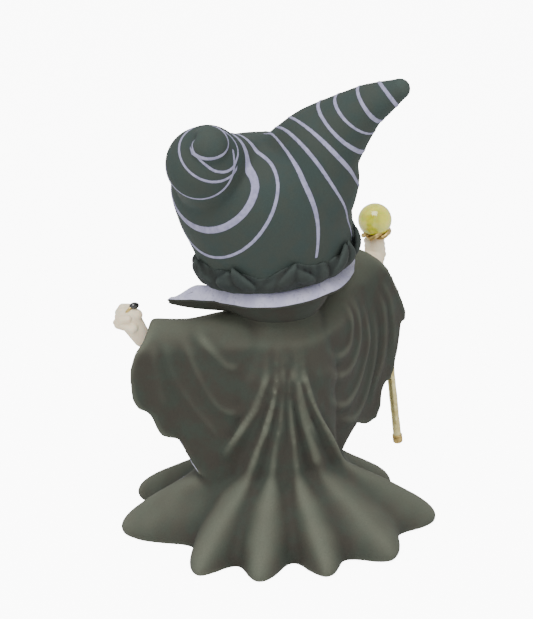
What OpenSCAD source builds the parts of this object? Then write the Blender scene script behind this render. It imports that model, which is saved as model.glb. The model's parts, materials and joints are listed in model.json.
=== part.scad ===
/* [Robe] */
// Radius of the robe at the waist
waist_r = 28; // [27.5:0.1:29]
// Thickness of the moulded sleeve, collar and hat walls
wall = 2.2; // [1.8:0.1:2.6]
// Height of the collar's rim at the back
collar_z = 116; // [115:0.5:117]
// Height of the collar's fold at the middle of the back
collar_fold_z = 121; // [119:0.5:122]

/* [Hat and head] */
// Height of the hat's hem at the back
hem_back_z = 124.5; // [123:0.5:126]
// Height of the hat crown's top
crown_top_z = 182; // [181.6:0.1:184]
// Half the height of the head
head_h = 26; // [25:0.5:27]

/* [Staff] */
// Diameter of the brass rod
staff_d = 4; // [3:0.5:5]
// Diameter of the glossy bead
orb_d = 16; // [14:0.5:18]

/* [Mechanism] */
// Gear module
gear_m = 0.6; // [0.6:0.1:0.6]
// Diameter of the steel neck shaft
shaft_d = 3; // [2.5:0.5:3]
// Radial running clearance in each bearing
run_gap = 0.05; // [0.02:0.01:0.1]

/* [Hidden] */
$fn = 48;

ROBE = [0.29, 0.30, 0.26];
HAT = [0.31, 0.34, 0.31];
LAVENDER = [0.68, 0.66, 0.78];
SKIN = [0.90, 0.83, 0.74];
GOLD = [0.80, 0.72, 0.45];
STEEL = [0.70, 0.71, 0.72];
BRASS = [0.80, 0.68, 0.38];
WHITE_PLASTIC = [0.86, 0.86, 0.83];
BLACK_PLASTIC = [0.12, 0.12, 0.13];

eps = 0.01;
fit_gap = 0.3;

// Robe: [azimuth, radius] of each lobe tip and each notch of the hem, in turn
HEM = [[-50, 70], [-36, 55], [-19, 72], [9, 48], [28, 65], [40, 50], [53, 61], [70, 45], [82, 61],
    [97, 52], [112, 67], [131, 60], [148, 75], [166, 52], [182, 66], [198, 50], [214, 68],
    [231, 50], [247, 65], [262, 49], [278, 66], [294, 52], [310, 70]];
WAIST = [[0, 31], [25, 30.5], [36, waist_r], [45, 27.3], [60, 26.5], [80, 27], [95, 24], [101, 20.5],
    [106, 16.5]];
CAVITY = [[0, 40.2], [2.5, 40.2], [2.6, 37], [7, 37], [13, 33], [19, 29], [26, 26.8], [36, 25],
    [60, 24.2], [80, 24.3], [95, 21.5], [101, 18], [106, 14.2]];
ROBE_Z = [0, 2.5, 2.6, 7, 11, 15, 19, 24, 30, 37, 52, 70, 80, 94, 100, 106];
flare_top_z = 36;

// Mechanism heights, from the bottom up
plate_t = 2.5;
board_z = 8;
screw_r = 0.95;
screw_boss_r = 2.8;
door_screw_hole_r = 1.1;
post_end_r = 1.2;
pin_r = 1.5;
lower_plate_z = 74;
gear_z = 78;
pinion_z = 83.5;
upper_plate_z = 90;
gear_plate_t = 3;
gear_t = 3;
pinion_t = 4;
shaft_z0 = 66;
shaft_z1 = 114;
main_teeth = 40;
motor_teeth = 12;
neck_teeth = 10;
sector_teeth = 50;
motor_y = -(main_teeth + motor_teeth) * gear_m / 2;
pivot_dist = (neck_teeth + sector_teeth) * gear_m / 2;
pivot_az = -10;
L_PIVOT = [pivot_dist * cos(pivot_az), pivot_dist * sin(pivot_az), 0];
R_PIVOT = [-L_PIVOT[0], L_PIVOT[1], 0];
POSTS = [for (sx = [-1, 1]) for (sy = [-1, 1]) [15.5 * sx, 11.5 * sy, 0]];
BASE_SCREWS = [for (a = [45, 135, 225, 315]) [32 * cos(a), 32 * sin(a), 0]];

// Battery bay
cell_d = 10.5;
cell_h = 44.5;
cell_x = 5.6;
bay_y = 10;
bay_wall = 1.2;
door_screw_y = 22.5;
DOOR = [14.2, 3.3, 25.7];
switch_y = -26;

// Arms: direction, shoulder line and hand places
L_AZ = -31;
R_AZ = 201.5;
L_ELBOW = [29.5, -10.5, 86];
R_ELBOW = [-30.5, -8.6, 86];
L_WRIST = [52, -24.5, 91.5];
R_WRIST = [-65.8, -24.2, 109];
L_PALM = [58, -27, 100];
R_PALM = [-71, -30, 112];
ORB = [-71.5, -29, 126.3];
STAFF_FOOT = [-87.5, -27, 9];

// Hat peaks: [x, y, z, radius] from root to tip
L_PEAK = [[20, 1, 161, 23], [29, 4, 168, 20], [36, 8.5, 174, 17.3], [40.5, 13, 180, 14], [43, 18.5, 186, 8.8],
    [43.5, 21.5, 189.5, 3]];
R_PEAK = [[-9.5, 11.4, 166, 23.5], [-12.5, 16.5, 178.8, 19], [-17, 21.3, 186.2, 15], [-24, 29.9, 196.3, 9.8],
    [-29, 35, 200.8, 7.5], [-34.6, 40.7, 205.4, 4.5], [-37, 43.2, 207.2, 1.8]];
HEAD_C = [0, -3, 131.5];

function clamp01(x) = min(1, max(0, x));
function smooth(x) = let (c = clamp01(x)) c * c * (3 - 2 * c);
function mix(a, b, t) = a + (b - a) * t;
function unit(v) = v / norm(v);
function bezier(p, t) = let (u = 1 - t)
    u * u * u * p[0] + 3 * u * u * t * p[1] + 3 * u * t * t * p[2] + t * t * t * p[3];
// Smooth curve through every row, t from 0 at the first to 1 at the last
function spline(rows, t) = let (
        last = len(rows) - 1, i = min(floor(t * last), last - 1), u = t * last - i,
        b = rows[i], c = rows[i + 1],
        a = i > 0 ? rows[i - 1] : 2 * b - c, d = i + 2 <= last ? rows[i + 2] : 2 * c - b)
    (2 * b + (c - a) * u + (2 * a - 5 * b + 4 * c - d) * u * u + (3 * b - a - 3 * c + d) * u * u * u) / 2;

// Closed shell between an outer and an inner grid of points; hole(i, j) leaves a cell open
module shell(outer, inner, wrap = false, hole = function (i, j) false) {
    rows = len(outer);
    cols = len(outer[0]);
    off = rows * cols;
    ni = wrap ? rows : rows - 1;
    nj = cols - 1;
    at = function (i, j) ((i % rows) * cols + j);
    solid = function (i, j)
        let (k = wrap ? (i + rows) % rows : i)
        k >= 0 && k < ni && j >= 0 && j < nj && !hole(k, j);
    side = function (a, b) [[b, a, a + off], [b, a + off, b + off]];
    faces = [for (i = [0:ni - 1]) for (j = [0:nj - 1]) if (solid(i, j))
        let (a = at(i, j), b = at(i + 1, j), c = at(i + 1, j + 1), d = at(i, j + 1))
        each concat([[a, b, c], [a, c, d], [a + off, c + off, b + off], [a + off, d + off, c + off]],
            solid(i, j - 1) ? [] : side(a, b), solid(i + 1, j) ? [] : side(b, c),
            solid(i, j + 1) ? [] : side(c, d), solid(i - 1, j) ? [] : side(d, a))];
    polyhedron([for (r = outer) each r, for (r = inner) each r], faces);
}

// Solid swept through rings of points, closed by a fan at each end
module loft(rings) {
    n = len(rings[0]);
    last = len(rings) - 1;
    mid = function (r) [for (k = [0:2]) [for (p = r) p[k]] * [for (p = r) 1] / n];
    pts = [for (r = rings) each r, mid(rings[0]), mid(rings[last])];
    cap = n * (last + 1);
    faces = [for (i = [0:last - 1]) for (j = [0:n - 1])
        let (a = i * n + j, b = i * n + (j + 1) % n) each [[a, b, b + n], [a, b + n, a + n]],
        for (j = [0:n - 1]) [j, cap, (j + 1) % n],
        for (j = [0:n - 1]) [last * n + j, last * n + (j + 1) % n, cap + 1]];
    polyhedron(pts, faces);
}

// Rings of n points about a path, one radius for each of its points
function tube_rings(path, radii, n) = [for (i = [0:len(path) - 1])
    let (dir = unit(path[min(len(path) - 1, i + 1)] - path[max(0, i - 1)]),
        side = unit(cross([0.31, 0.17, 0.93], dir)), top = cross(dir, side))
    [for (k = [0:n - 1]) path[i] + radii[i] * (side * cos(-360 * k / n) + top * sin(-360 * k / n))]];

// Straight round bar between two points
module bar(p, q, r) {
    v = q - p;
    translate(p) rotate([0, acos(v[2] / norm(v)), atan2(v[1], v[0])]) cylinder(r = r, h = norm(v));
}

module capsule(p, q, rp, rq) {
    hull() {
        translate(p) sphere(r = rp, $fn = 14);
        translate(q) sphere(r = rq, $fn = 14);
    }
}

// Involute gear outline, with a tooth centred on the +X axis
pressure = 25;
backlash = 0.12;
function inv(a) = tan(a) * 180 / PI - a;
function half_tooth(n, r) = let (rp = n * gear_m / 2, rb = rp * cos(pressure))
    90 / n - backlash / (2 * rp) * 90 / PI + inv(pressure) - inv(acos(min(1, rb / r)));
function tooth(n, a) = let (rp = n * gear_m / 2, tip = rp + 0.8 * gear_m, root = rp - 1.1 * gear_m,
        radii = [for (k = [0:4]) mix(root, tip, k / 4)])
    concat([for (r = radii) let (h = a - half_tooth(n, r)) [r * cos(h), r * sin(h)]],
        [for (k = [4:-1:0]) let (r = radii[k], h = a + half_tooth(n, r)) [r * cos(h), r * sin(h)]]);
module gear(n, h, phase) {
    rotate(phase) linear_extrude(h) polygon([for (k = [0:n - 1]) each tooth(n, 360 * k / n)]);
}

module ring_bar(r_out, r_in, h) {
    difference() {
        cylinder(r = r_out, h = h);
        translate([0, 0, -1]) cylinder(r = r_in, h = h + 2);
    }
}

// ---- Base ----
module base_plate() {
    color(BLACK_PLASTIC) difference() {
        cylinder(r = 40, h = plate_t, $fn = 96);
        translate([-DOOR[0] - fit_gap, DOOR[1] - fit_gap, -1])
            cube([2 * (DOOR[0] + fit_gap), DOOR[2] - DOOR[1] + 2 * fit_gap, plate_t + 2]);
        translate([-4, switch_y - 1.5, -1]) cube([8, 3, plate_t + 2]);
        for (p = BASE_SCREWS) {
            translate(p - [0, 0, 1]) cylinder(r = 1.35, h = plate_t + 2);
            translate(p - [0, 0, 1]) cylinder(r = 2.6, h = 2.2);
        }
    }
}

module mount_ring() {
    color(BLACK_PLASTIC) difference() {
        union() {
            translate([0, 0, plate_t]) ring_bar(37.1, 29.5, 4.5);
            for (p = BASE_SCREWS) translate(p + [0, 0, plate_t]) cylinder(r = screw_boss_r, h = 8);
        }
        for (p = BASE_SCREWS) translate(p) cylinder(r = screw_r, h = 20);
    }
}

module base_screw(k) {
    color(STEEL) translate(BASE_SCREWS[k]) {
        difference() {
            translate([0, 0, 0.4]) cylinder(r = 2.3, h = 0.8);
            translate([-1.7, -0.25, 0]) cube([3.4, 0.5, 0.75]);
        }
        translate([0, 0, 1.2 - eps]) cylinder(r = screw_r, h = 7.5);
    }
}

module battery_box() {
    inner_x = 2 * cell_x;
    inner_y = cell_d / 2 + 0.35;
    top = plate_t + cell_h + 2.2;
    color(BLACK_PLASTIC) difference() {
        union() {
            translate([-inner_x - bay_wall, bay_y - inner_y - bay_wall, plate_t])
                cube([2 * (inner_x + bay_wall), 2 * (inner_y + bay_wall), top + bay_wall - plate_t]);
            translate([-2.6, bay_y + inner_y, plate_t]) cube([5.2, door_screw_y - bay_y - inner_y, 9]);
            translate([0, door_screw_y, plate_t]) cylinder(r = screw_boss_r, h = 9);
        }
        translate([-inner_x, bay_y - inner_y, 0]) cube([2 * inner_x, 2 * inner_y, top]);
        translate([0, door_screw_y, 0]) cylinder(r = door_screw_hole_r, h = plate_t + 8);
    }
}

module battery_cell(x) {
    color([0.75, 0.62, 0.30]) translate([x, bay_y, plate_t + 0.45]) {
        cylinder(r = cell_d / 2, h = cell_h - 1);
        translate([0, 0, cell_h - 1 - eps]) cylinder(r = 1.9, h = 1);
    }
}

module top_contact() {
    color(STEEL) translate([-9, bay_y - 2.5, plate_t + cell_h + 0.6]) cube([18, 5, 1.6]);
}

module door_contact() {
    color(STEEL) translate([-9, bay_y - 2.5, 2.2]) cube([18, 5, 0.4]);
}

module battery_door() {
    color(BLACK_PLASTIC) difference() {
        translate([-DOOR[0], DOOR[1], 0.4]) cube([2 * DOOR[0], DOOR[2] - DOOR[1], 1.8]);
        translate([0, door_screw_y, -1]) cylinder(r = door_screw_hole_r, h = 5);
        translate([0, door_screw_y, -1]) cylinder(r = 2.1, h = 2.2);
        for (k = [0:3]) translate([-6, 6 + 2 * k, 0]) cube([12, 0.8, 0.7]);
    }
}

module door_screw() {
    color(STEEL) translate([0, door_screw_y, 0]) {
        difference() {
            translate([0, 0, 0.5]) cylinder(r = 1.9, h = 0.7);
            translate([-1.4, -0.25, 0]) cube([2.8, 0.5, 0.75]);
        }
        translate([0, 0, 1.2 - eps]) cylinder(r = 1, h = 6.5);
    }
}

module circuit_board() {
    color([0.12, 0.32, 0.18]) translate([-11, -16, plate_t]) cube([22, 1.2, 36]);
    color(BLACK_PLASTIC) {
        for (z = [board_z, board_z + 12]) translate([-5, -17.6, z + 4]) cube([8, 1.6, 6]);
        translate([5, -18.4, board_z + 20]) cube([4, 2.4, 4]);
    }
}

module switch_body() {
    color(STEEL) difference() {
        translate([-6, switch_y - 2.5, plate_t]) cube([12, 5, 4.5]);
        translate([-3.6, switch_y - 1.2, 0]) cube([7.2, 2.4, plate_t + 2.5]);
    }
}

module switch_knob() {
    color(BLACK_PLASTIC) translate([-3.3, switch_y - 1, 0.6]) cube([3, 2, 4]);
}

module tower_post(k) {
    color(STEEL) translate(POSTS[k]) {
        translate([0, 0, plate_t]) cylinder(r = 2, h = lower_plate_z - plate_t);
        translate([0, 0, lower_plate_z - eps]) cylinder(r = post_end_r, h = gear_plate_t + 2 * eps);
        translate([0, 0, lower_plate_z + gear_plate_t])
            cylinder(r = 1.75, h = upper_plate_z - lower_plate_z - gear_plate_t);
        translate([0, 0, upper_plate_z - eps]) cylinder(r = post_end_r, h = gear_plate_t + 1);
    }
}

module gear_plate(r) {
    difference() {
        cylinder(r = r, h = gear_plate_t);
        translate([0, 0, -1]) cylinder(r = shaft_d / 2 + run_gap, h = gear_plate_t + 2);
        for (p = POSTS) translate(p - [0, 0, 1]) cylinder(r = post_end_r, h = gear_plate_t + 2);
        for (p = [L_PIVOT, R_PIVOT]) translate(p - [0, 0, 1]) cylinder(r = pin_r, h = gear_plate_t + 2);
    }
}

module lower_plate() {
    color(WHITE_PLASTIC) translate([0, 0, lower_plate_z]) difference() {
        gear_plate(22.8);
        translate([0, motor_y, -1]) cylinder(r = 2.2, h = gear_plate_t + 2);
    }
}

module upper_plate() {
    color(WHITE_PLASTIC) translate([0, 0, upper_plate_z]) {
        difference() {
            union() {
                gear_plate(21);
                translate([0, 0, gear_plate_t]) cylinder(r = 5, h = 7);
            }
            translate([0, 0, -1]) cylinder(r = shaft_d / 2 + run_gap, h = 20);
        }
    }
}

module gear_motor() {
    color(STEEL) translate([0, motor_y, 0]) {
        translate([-6, -5, lower_plate_z - 9]) cube([12, 10, 9]);
        translate([-6, -4, lower_plate_z - 26]) cube([12, 8, 17 + eps]);
        translate([0, 0, lower_plate_z - eps]) cylinder(r = 2, h = gear_plate_t);
    }
}

module motor_pinion() {
    color(WHITE_PLASTIC) translate([0, motor_y, gear_z - 0.5]) {
        gear(motor_teeth, gear_t + 1, 180 / motor_teeth + 90);
        cylinder(r = 2.1, h = gear_t + 2);
    }
}

module neck_shaft() {
    color(STEEL) translate([0, 0, shaft_z0]) cylinder(r = shaft_d / 2, h = shaft_z1 - shaft_z0);
}

module thrust_collar() {
    color(BRASS) translate([0, 0, upper_plate_z + gear_plate_t + 7.2]) ring_bar(3.5, shaft_d / 2, 2);
}

module main_gear() {
    color(WHITE_PLASTIC) translate([0, 0, gear_z]) difference() {
        union() {
            gear(main_teeth, gear_t, 0);
            cylinder(r = 4, h = gear_t + 1.5);
        }
        translate([0, 0, -1]) cylinder(r = shaft_d / 2, h = 10);
    }
}

module neck_pinion() {
    color(WHITE_PLASTIC) translate([0, 0, pinion_z]) difference() {
        gear(neck_teeth, pinion_t, pivot_az);
        translate([0, 0, -1]) cylinder(r = shaft_d / 2, h = 10);
    }
}

module pivot_pin(p) {
    color(STEEL) translate(p) {
        translate([0, 0, lower_plate_z]) cylinder(r = pin_r, h = upper_plate_z + gear_plate_t - lower_plate_z);
        translate([0, 0, lower_plate_z + gear_plate_t]) cylinder(r = 2.5, h = 5.8);
    }
}

// Lever with its sector gear and forearm; mesh_az is the way from the pivot to the neck shaft
module arm(pivot, elbow, wrist, mesh_az, phase) {
    hub_z = pinion_z - 0.5;
    span = 3;
    dir = unit([elbow[0] - pivot[0], elbow[1] - pivot[1], 0]);
    pitch = 360 / sector_teeth;
    difference() {
        union() {
            translate(pivot + [0, 0, hub_z]) cylinder(r = 4, h = 6.2);
            translate(pivot + [0, 0, pinion_z]) rotate(mesh_az + phase) linear_extrude(pinion_t)
                polygon([[0, 0], for (k = [-span:span]) each tooth(sector_teeth, (k + 0.5) * pitch)]);
            translate(pivot + [0, 0, hub_z + 0.3]) rotate(atan2(dir[1], dir[0]))
                translate([0, -2.5, 0]) cube([norm([elbow[0] - pivot[0], elbow[1] - pivot[1]]), 5, 5]);
            translate([elbow[0], elbow[1], hub_z - 1.5]) cylinder(r = 4.2, h = 8.1);
            bar(elbow, wrist, 3.3);
        }
        translate(pivot) cylinder(r = pin_r + run_gap, h = 120);
    }
}

module left_arm() {
    color(SKIN) arm(L_PIVOT, L_ELBOW, L_WRIST, 180 + pivot_az, 0);
}

module right_arm() {
    // the neck pinion's nearest tooth space is a little off this side, so the sector is turned to suit
    pitch = 360 / neck_teeth;
    line = 180 - pivot_az;
    first = pivot_az + pitch / 2;
    off = first + pitch * round((line - first) / pitch) - line;
    phase = 180 / sector_teeth - off * neck_teeth / sector_teeth;
    color(SKIN) arm(R_PIVOT, R_ELBOW, R_WRIST, -pivot_az, phase);
}

// ---- Robe ----
function hem_r(a) = let (
        b = a > 310 ? a - 360 : a,
        k = max([for (i = [0:len(HEM) - 2]) if (HEM[i][0] <= b) i]),
        t = (b - HEM[k][0]) / (HEM[k + 1][0] - HEM[k][0]))
    mix(HEM[k][1], HEM[k + 1][1], (1 - cos(180 * t)) / 2);
function flare(z) = let (t = clamp01((z - 2) / (flare_top_z - 2))) (1 + cos(180 * t)) / 2;
function robe_r(a, z) = lookup(z, WAIST) + (hem_r(a) - 31) * flare(z) - (z < 1 ? 1.2 : 0);
function cavity_r(a, z) = lookup(z, CAVITY)
    + 0.6 * smooth((z - 8) / 4) * max(0, hem_r(a) - 46) * flare(z);
function polar(a, r, z) = [r * cos(a), r * sin(a), z];

ARMHOLE_L = [331, 357];
ARMHOLE_R = [183, 209];
module robe_half(from, holes) {
    steps = 52;
    az = [for (i = [0:steps]) from + 180 * i / steps];
    z_lo = search(80, ROBE_Z)[0];
    hole = function (i, j) j == z_lo
        && len([for (h = holes) if (az[i] >= h[0] && az[i + 1] <= h[1]) 1]) > 0;
    outer = [for (a = az) [for (z = ROBE_Z) polar(a, robe_r(a % 360, z), z)]];
    inner = [for (a = az) [for (z = ROBE_Z) polar(a, cavity_r(a % 360, z), z)]];
    shell(inner = inner, outer = outer, hole = hole);
}

module robe_rear() {
    color(ROBE) robe_half(0, []);
}

module robe_front() {
    color(ROBE) robe_half(180, [ARMHOLE_L, ARMHOLE_R]);
}

// One point of a draped sleeve: s runs from robe to cuff, v from the rear hem over the top to the front
function sleeve_pt(sl, s, v, inset) = let (
        a = sl[0], sign = sl[1], top = sl[2], reach = sl[3], rear = sl[4], front = sl[5],
        drop = sl[6], hem = sl[7],
        d = [cos(a), sin(a)], n = sign * [-sin(a), cos(a)],
        off = [L_PIVOT[0] * sign, L_PIVOT[1]] * n,
        crest = 0.36,
        ztop = mix(103, top, smooth(s)) - inset,
        half = mix(10.5, 11.5, s) - inset,
        arc = min(1, abs(v) / crest),
        q = clamp01((abs(v) - crest) / (1 - crest)),
        zs = ztop - half * (1 - cos(90 * arc)),
        zh = lookup(s, hem) - 1.2 * abs(sin(540 * s)),
        z = mix(zs, zh, q),
        b = (v < 0 ? -1 : 1) * (half * sin(90 * arc) - 3.5 * q),
        depth = clamp01((ztop + inset - z) / drop),
        t1 = reach + (v > 0 ? rear : front) * pow(depth, 1.3),
        rho = lookup(z, WAIST) + 13 * flare(z) - 1.4,
        t0 = sqrt(max(4, rho * rho - (off + b) * (off + b))),
        t = mix(t0, t1, s),
        p = d * t + n * (off + b))
    [p[0], p[1], z];
L_SLEEVE = [L_AZ, 1, 99.5, 55.5, 6, 10.5, 27,
    [[0, 24], [0.17, 27], [0.42, 34], [0.53, 45], [0.73, 47], [0.85, 58], [0.95, 60.5], [1, 68]]];
R_SLEEVE = [R_AZ, -1, 118.5, 57.5, 31, 8, 34,
    [[0, 28], [0.25, 35], [0.33, 36], [0.53, 30], [0.64, 31], [0.71, 46], [0.82, 48], [0.9, 75], [1, 79]]];
SLEEVE_V = [1, 0.87, 0.74, 0.61, 0.48, 0.36, 0.27, 0.18, 0.09, 0];
module sleeve(sl) {
    vs = concat(SLEEVE_V, [for (k = [len(SLEEVE_V) - 2:-1:0]) -SLEEVE_V[k]]);
    steps = 14;
    outer = [for (i = [0:steps]) [for (v = vs) sleeve_pt(sl, i / steps, v, 0)]];
    inner = [for (i = [0:steps]) [for (v = vs) sleeve_pt(sl, i / steps, v, wall)]];
    if (sl[1] > 0) shell(outer, inner);
    else shell(inner, outer);
}

module left_sleeve() {
    color(ROBE) sleeve(L_SLEEVE);
}

module right_sleeve() {
    color(ROBE) sleeve(R_SLEEVE);
}

// ---- Collar ----
COLLAR_R = [[-19, 48], [-11, 39], [3, 31.5], [25, 29.5], [50, 29.5], [80, 30.7], [110, 31], [143, 33],
    [161, 36], [180, 40], [198, 48]];
COLLAR_FOLD_R = [[-19, 46.5], [-8, 33], [3, 27], [20, 26], [140, 26], [165, 28], [180, 31], [198, 37]];
COLLAR_TILT = 7;
// The collar stands up from the neck to a fold and turns over down to its rim
module collar() {
    az = [for (i = [0:46]) -19 + 217 * i / 46];
    level = function (a, z, r) z - r * cos(a) * tan(COLLAR_TILT);
    // [radius, height] of the upper face and of the face under it, from root to rim
    section = function (a, under) let (
            rr = lookup(a, COLLAR_R), zr = level(a, collar_z, rr), rf = lookup(a, COLLAR_FOLD_R),
            zf = mix(level(a, collar_fold_z, 22), zr + 0.8, smooth((3 - a) / 22)),
            rm = mix(rf, rr, 0.5), zm = mix(zf, zr, 0.42))
        under ? [[18.6, 103.9], [rf + 0.1, zf - 3.4], [rf + 0.35, zf - 2.2], [rm - 1, zm - 1.3],
                [rr - 1, zr - 1.3]]
            : [[17, 104.5], [rf - 1.1, zf - 1.5], [rf, zf], [rm, zm], [rr, zr]];
    face = function (under) [for (a = az) [for (p = section(a, under)) polar(a, p[0], p[1])]];
    color(LAVENDER) shell(face(true), face(false));
}

module clasp() {
    color(GOLD) translate([0, -17.6, 100]) rotate([64, 0, 0]) {
        cylinder(r = 5, h = 2);
        cylinder(r = 3.4, h = 2.8);
    }
}

// ---- Head and hat ----
function face_bump(a, e) = 3.2 * pow(max(0, cos(a - 270)), 60) * pow(max(0, cos(e + 8)), 30)
    + 0.9 * pow(max(0, cos(a - 270)), 8) * pow(max(0, cos(e + 48)), 20)
    - 1.2 * pow(max(0, cos(a - 248)), 60) * pow(max(0, cos(e - 6)), 30)
    - 1.2 * pow(max(0, cos(a - 292)), 60) * pow(max(0, cos(e - 6)), 30);
module head() {
    grid = function (inset) [for (i = [0:43]) let (a = 360 * i / 44)
        [for (k = [0:15]) let (e = mix(-70, 88, k / 15), c = pow(cos(e), 0.8),
            r = inset > 0 ? -inset : face_bump(a, e))
            HEAD_C + [(head_h - 2 + r) * c * cos(a), (head_h - 3.5 + r) * c * sin(a),
                (head_h + r) * sin(e)]]];
    color(SKIN) shell(grid(0), grid(2), wrap = true);
}

module head_hub() {
    color(WHITE_PLASTIC) difference() {
        union() {
            translate([0, 0, 110.5]) cylinder(r = 13.5, h = 2.5);
            translate([0, 0, 104]) cylinder(r = 4, h = 7);
        }
        translate([0, 0, 100]) cylinder(r = shaft_d / 2, h = 20);
    }
}

module eye(side) {
    color([0.2, 0.26, 0.2]) translate(HEAD_C + [side * 8.9, -19.2, 2.3]) sphere(r = 2.9);
}

// Radius of the crown at each height; its middle moves to the figure's left with height
CROWN = [[112, 30.5], [121, 31], [126, 33], [135, 35.8], [145, 38], [155, 39], [163, 38.4], [170, 35.8],
    [176, 29.5], [179.5, 20], [181.3, 10], [crown_top_z, 1]];
crown_lean = 6.8;
crown_flatness = 0.92;
function hat_hem_z(a) = hem_back_z - 3.5 * cos(a) + 23.5 * smooth((-sin(a) - 0.62) / 0.3);
function crown_pt(a, z, grow) = let (r = lookup(z, CROWN) + grow)
    [crown_lean * smooth((z - 125) / 40) + r * cos(a), -2 + crown_flatness * r * sin(a), z];
module hat_crown() {
    grid = function (inset) [for (i = [0:59]) let (a = 360 * i / 60, z0 = hat_hem_z(a))
        [for (k = [0:12]) let (u = k / 12, z = mix(z0, crown_top_z - inset, 1 - pow(1 - u, 1.5)))
            crown_pt(a, z, inset > 0 ? -min(inset, lookup(z, CROWN) - 1) : 0)]];
    color(HAT) shell(grid(0), grid(wall), wrap = true);
}

module hat_liner() {
    color(BLACK_PLASTIC) translate([0, 0, 150]) linear_extrude(1.6) difference() {
        polygon([for (i = [0:47]) let (p = crown_pt(7.5 * i, 150, -1.4)) [p[0], p[1]]]);
        translate([HEAD_C[0], HEAD_C[1]]) circle(r = 16.5);
    }
}

module hat_hem() {
    lumps = 17;
    lump = function (a) abs(sin(lumps * a / 2));
    band = function (a, u) let (z0 = hat_hem_z(a), rise = 5 + 4 * lump(a),
        z = z0 - 1.5 + u * rise, puff = (1 + 2.2 * lump(a)) * sin(20 + 140 * u))
        crown_pt(a, z, 0.6 + puff);
    rear = function (a, u) let (z0 = hat_hem_z(a)) crown_pt(a, z0 - 1.5 + u * (5 + 4 * lump(a)), -0.8);
    az = [for (i = [0:84]) 360 * i / 85];
    color(HAT) shell([for (a = az) [for (k = [0:4]) band(a, k / 4)]],
        [for (a = az) [for (k = [0:4]) rear(a, k / 4)]], wrap = true);
}

module peak(rows) {
    steps = 15;
    along = [for (k = [0:steps]) spline(rows, k / steps)];
    loft(tube_rings([for (p = along) [p[0], p[1], p[2]]], [for (p = along) p[3]], 24));
}

module left_peak() {
    color(HAT) peak(L_PEAK);
}

module right_peak() {
    color(HAT) peak(R_PEAK);
}

// ---- Hands ----
// Fingers curl about an axis through the palm; grip is the curl radius
module fist(palm, out, axis, grip) {
    side = cross(axis, out);
    for (k = [0:3]) {
        base = palm + axis * (3.4 - 2.6 * k);
        knuckle = base + out * (grip + 2.2) - side * 1.5;
        capsule(base - out * 2, knuckle, 2.4, 2);
        capsule(knuckle, base + out * (grip - 1) + side * (grip + 1.6), 2, 1.6);
    }
}

module left_hand() {
    out = unit([0.75, -0.55, 0.35]);
    color(SKIN) {
        fist(L_PALM, out, unit([-0.35, -0.65, 0.3]), 2.6);
        capsule(L_WRIST + [0.8, -0.3, 0], L_PALM + [0.4, -0.2, 0], 3.3, 4.8);
        capsule(L_PALM + [-2, 2, 3], L_PALM + [3.6, -0.6, 6.4], 2.3, 1.7);
    }
}

module finger_ring() {
    color(GOLD) translate(L_PALM + [0.2, 0, 5]) rotate([60, 30, 20]) ring_bar(3, 2, 1.4);
}

module ring_stone() {
    color(BLACK_PLASTIC) translate(L_PALM + [-1.2, 1.8, 7]) sphere(r = 1.9);
}

module right_hand() {
    up = unit(ORB - STAFF_FOOT);
    color(SKIN) {
        fist(R_PALM, unit([-0.8, -0.6, 0]), up, 1.6);
        capsule(R_WRIST + [1, 0.8, -1], R_PALM + [1.5, 1, 0], 3.6, 4.8);
        capsule(R_PALM + [2, 3, 1], R_PALM + [-1, 1.4, 3.6], 2.2, 1.7);
    }
}

// ---- Staff ----
staff_dir = unit(ORB - STAFF_FOOT);
staff_top = ORB - staff_dir * (orb_d / 2);
module staff() {
    color(BRASS) bar(STAFF_FOOT, staff_top, staff_d / 2);
}

module staff_ferrule() {
    color(GOLD) bar(STAFF_FOOT - staff_dir * 1.5, STAFF_FOOT + staff_dir * 3, staff_d / 2 + 0.5);
}

module orb() {
    color([0.86, 0.88, 0.50]) translate(ORB) sphere(r = orb_d / 2);
}

module orb_claw() {
    tilt = acos(staff_dir[2]);
    color(GOLD) translate(ORB) rotate([0, 0, atan2(staff_dir[1], staff_dir[0])]) rotate([0, tilt, 0]) {
        translate([0, 0, -orb_d / 2 + 0.8]) rotate_extrude()
            translate([5, 0]) circle(r = 1.3, $fn = 24);
        translate([0, 0, -orb_d / 2 - 2.2]) ring_bar(3.6, staff_d / 2 - 0.1, 2.6);
    }
}

// ---- Wires ----
module wire(ctrl) {
    path = [for (k = [0:12]) bezier(ctrl, k / 12)];
    loft(tube_rings(path, [for (k = path) 0.6], 8));
}

module battery_wire() {
    color([0.7, 0.1, 0.1]) wire([[9, 3, 46], [9, -2, 52], [8, -8, 40], [8, -14.9, 32]]);
}

module motor_wire() {
    color(BLACK_PLASTIC) wire([[-7, -14.9, 30], [-7, -10, 36], [-3, -13, 40], [-3, motor_y, 48.1]]);
}

base_plate();
mount_ring();
base_screw(0);  // base_screw_1
base_screw(1);  // base_screw_2
base_screw(2);  // base_screw_3
base_screw(3);  // base_screw_4
battery_box();
battery_cell(-cell_x);  // battery_cell_1
battery_cell(cell_x);  // battery_cell_2
top_contact();
door_contact();
battery_door();
door_screw();
circuit_board();
switch_body();
switch_knob();
tower_post(0);  // tower_post_1
tower_post(1);  // tower_post_2
tower_post(2);  // tower_post_3
tower_post(3);  // tower_post_4
lower_plate();
upper_plate();
gear_motor();
motor_pinion();
neck_shaft();
thrust_collar();
main_gear();
neck_pinion();
pivot_pin(L_PIVOT);  // left_pivot_pin
pivot_pin(R_PIVOT);  // right_pivot_pin
left_arm();
right_arm();
robe_rear();
robe_front();
left_sleeve();
right_sleeve();
collar();
clasp();
head();
head_hub();
eye(1);  // left_eye
eye(-1);  // right_eye
hat_liner();
hat_crown();
hat_hem();
left_peak();
right_peak();
left_hand();
finger_ring();
ring_stone();
right_hand();
staff();
orb();
orb_claw();
staff_ferrule();
battery_wire();
motor_wire();
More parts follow.
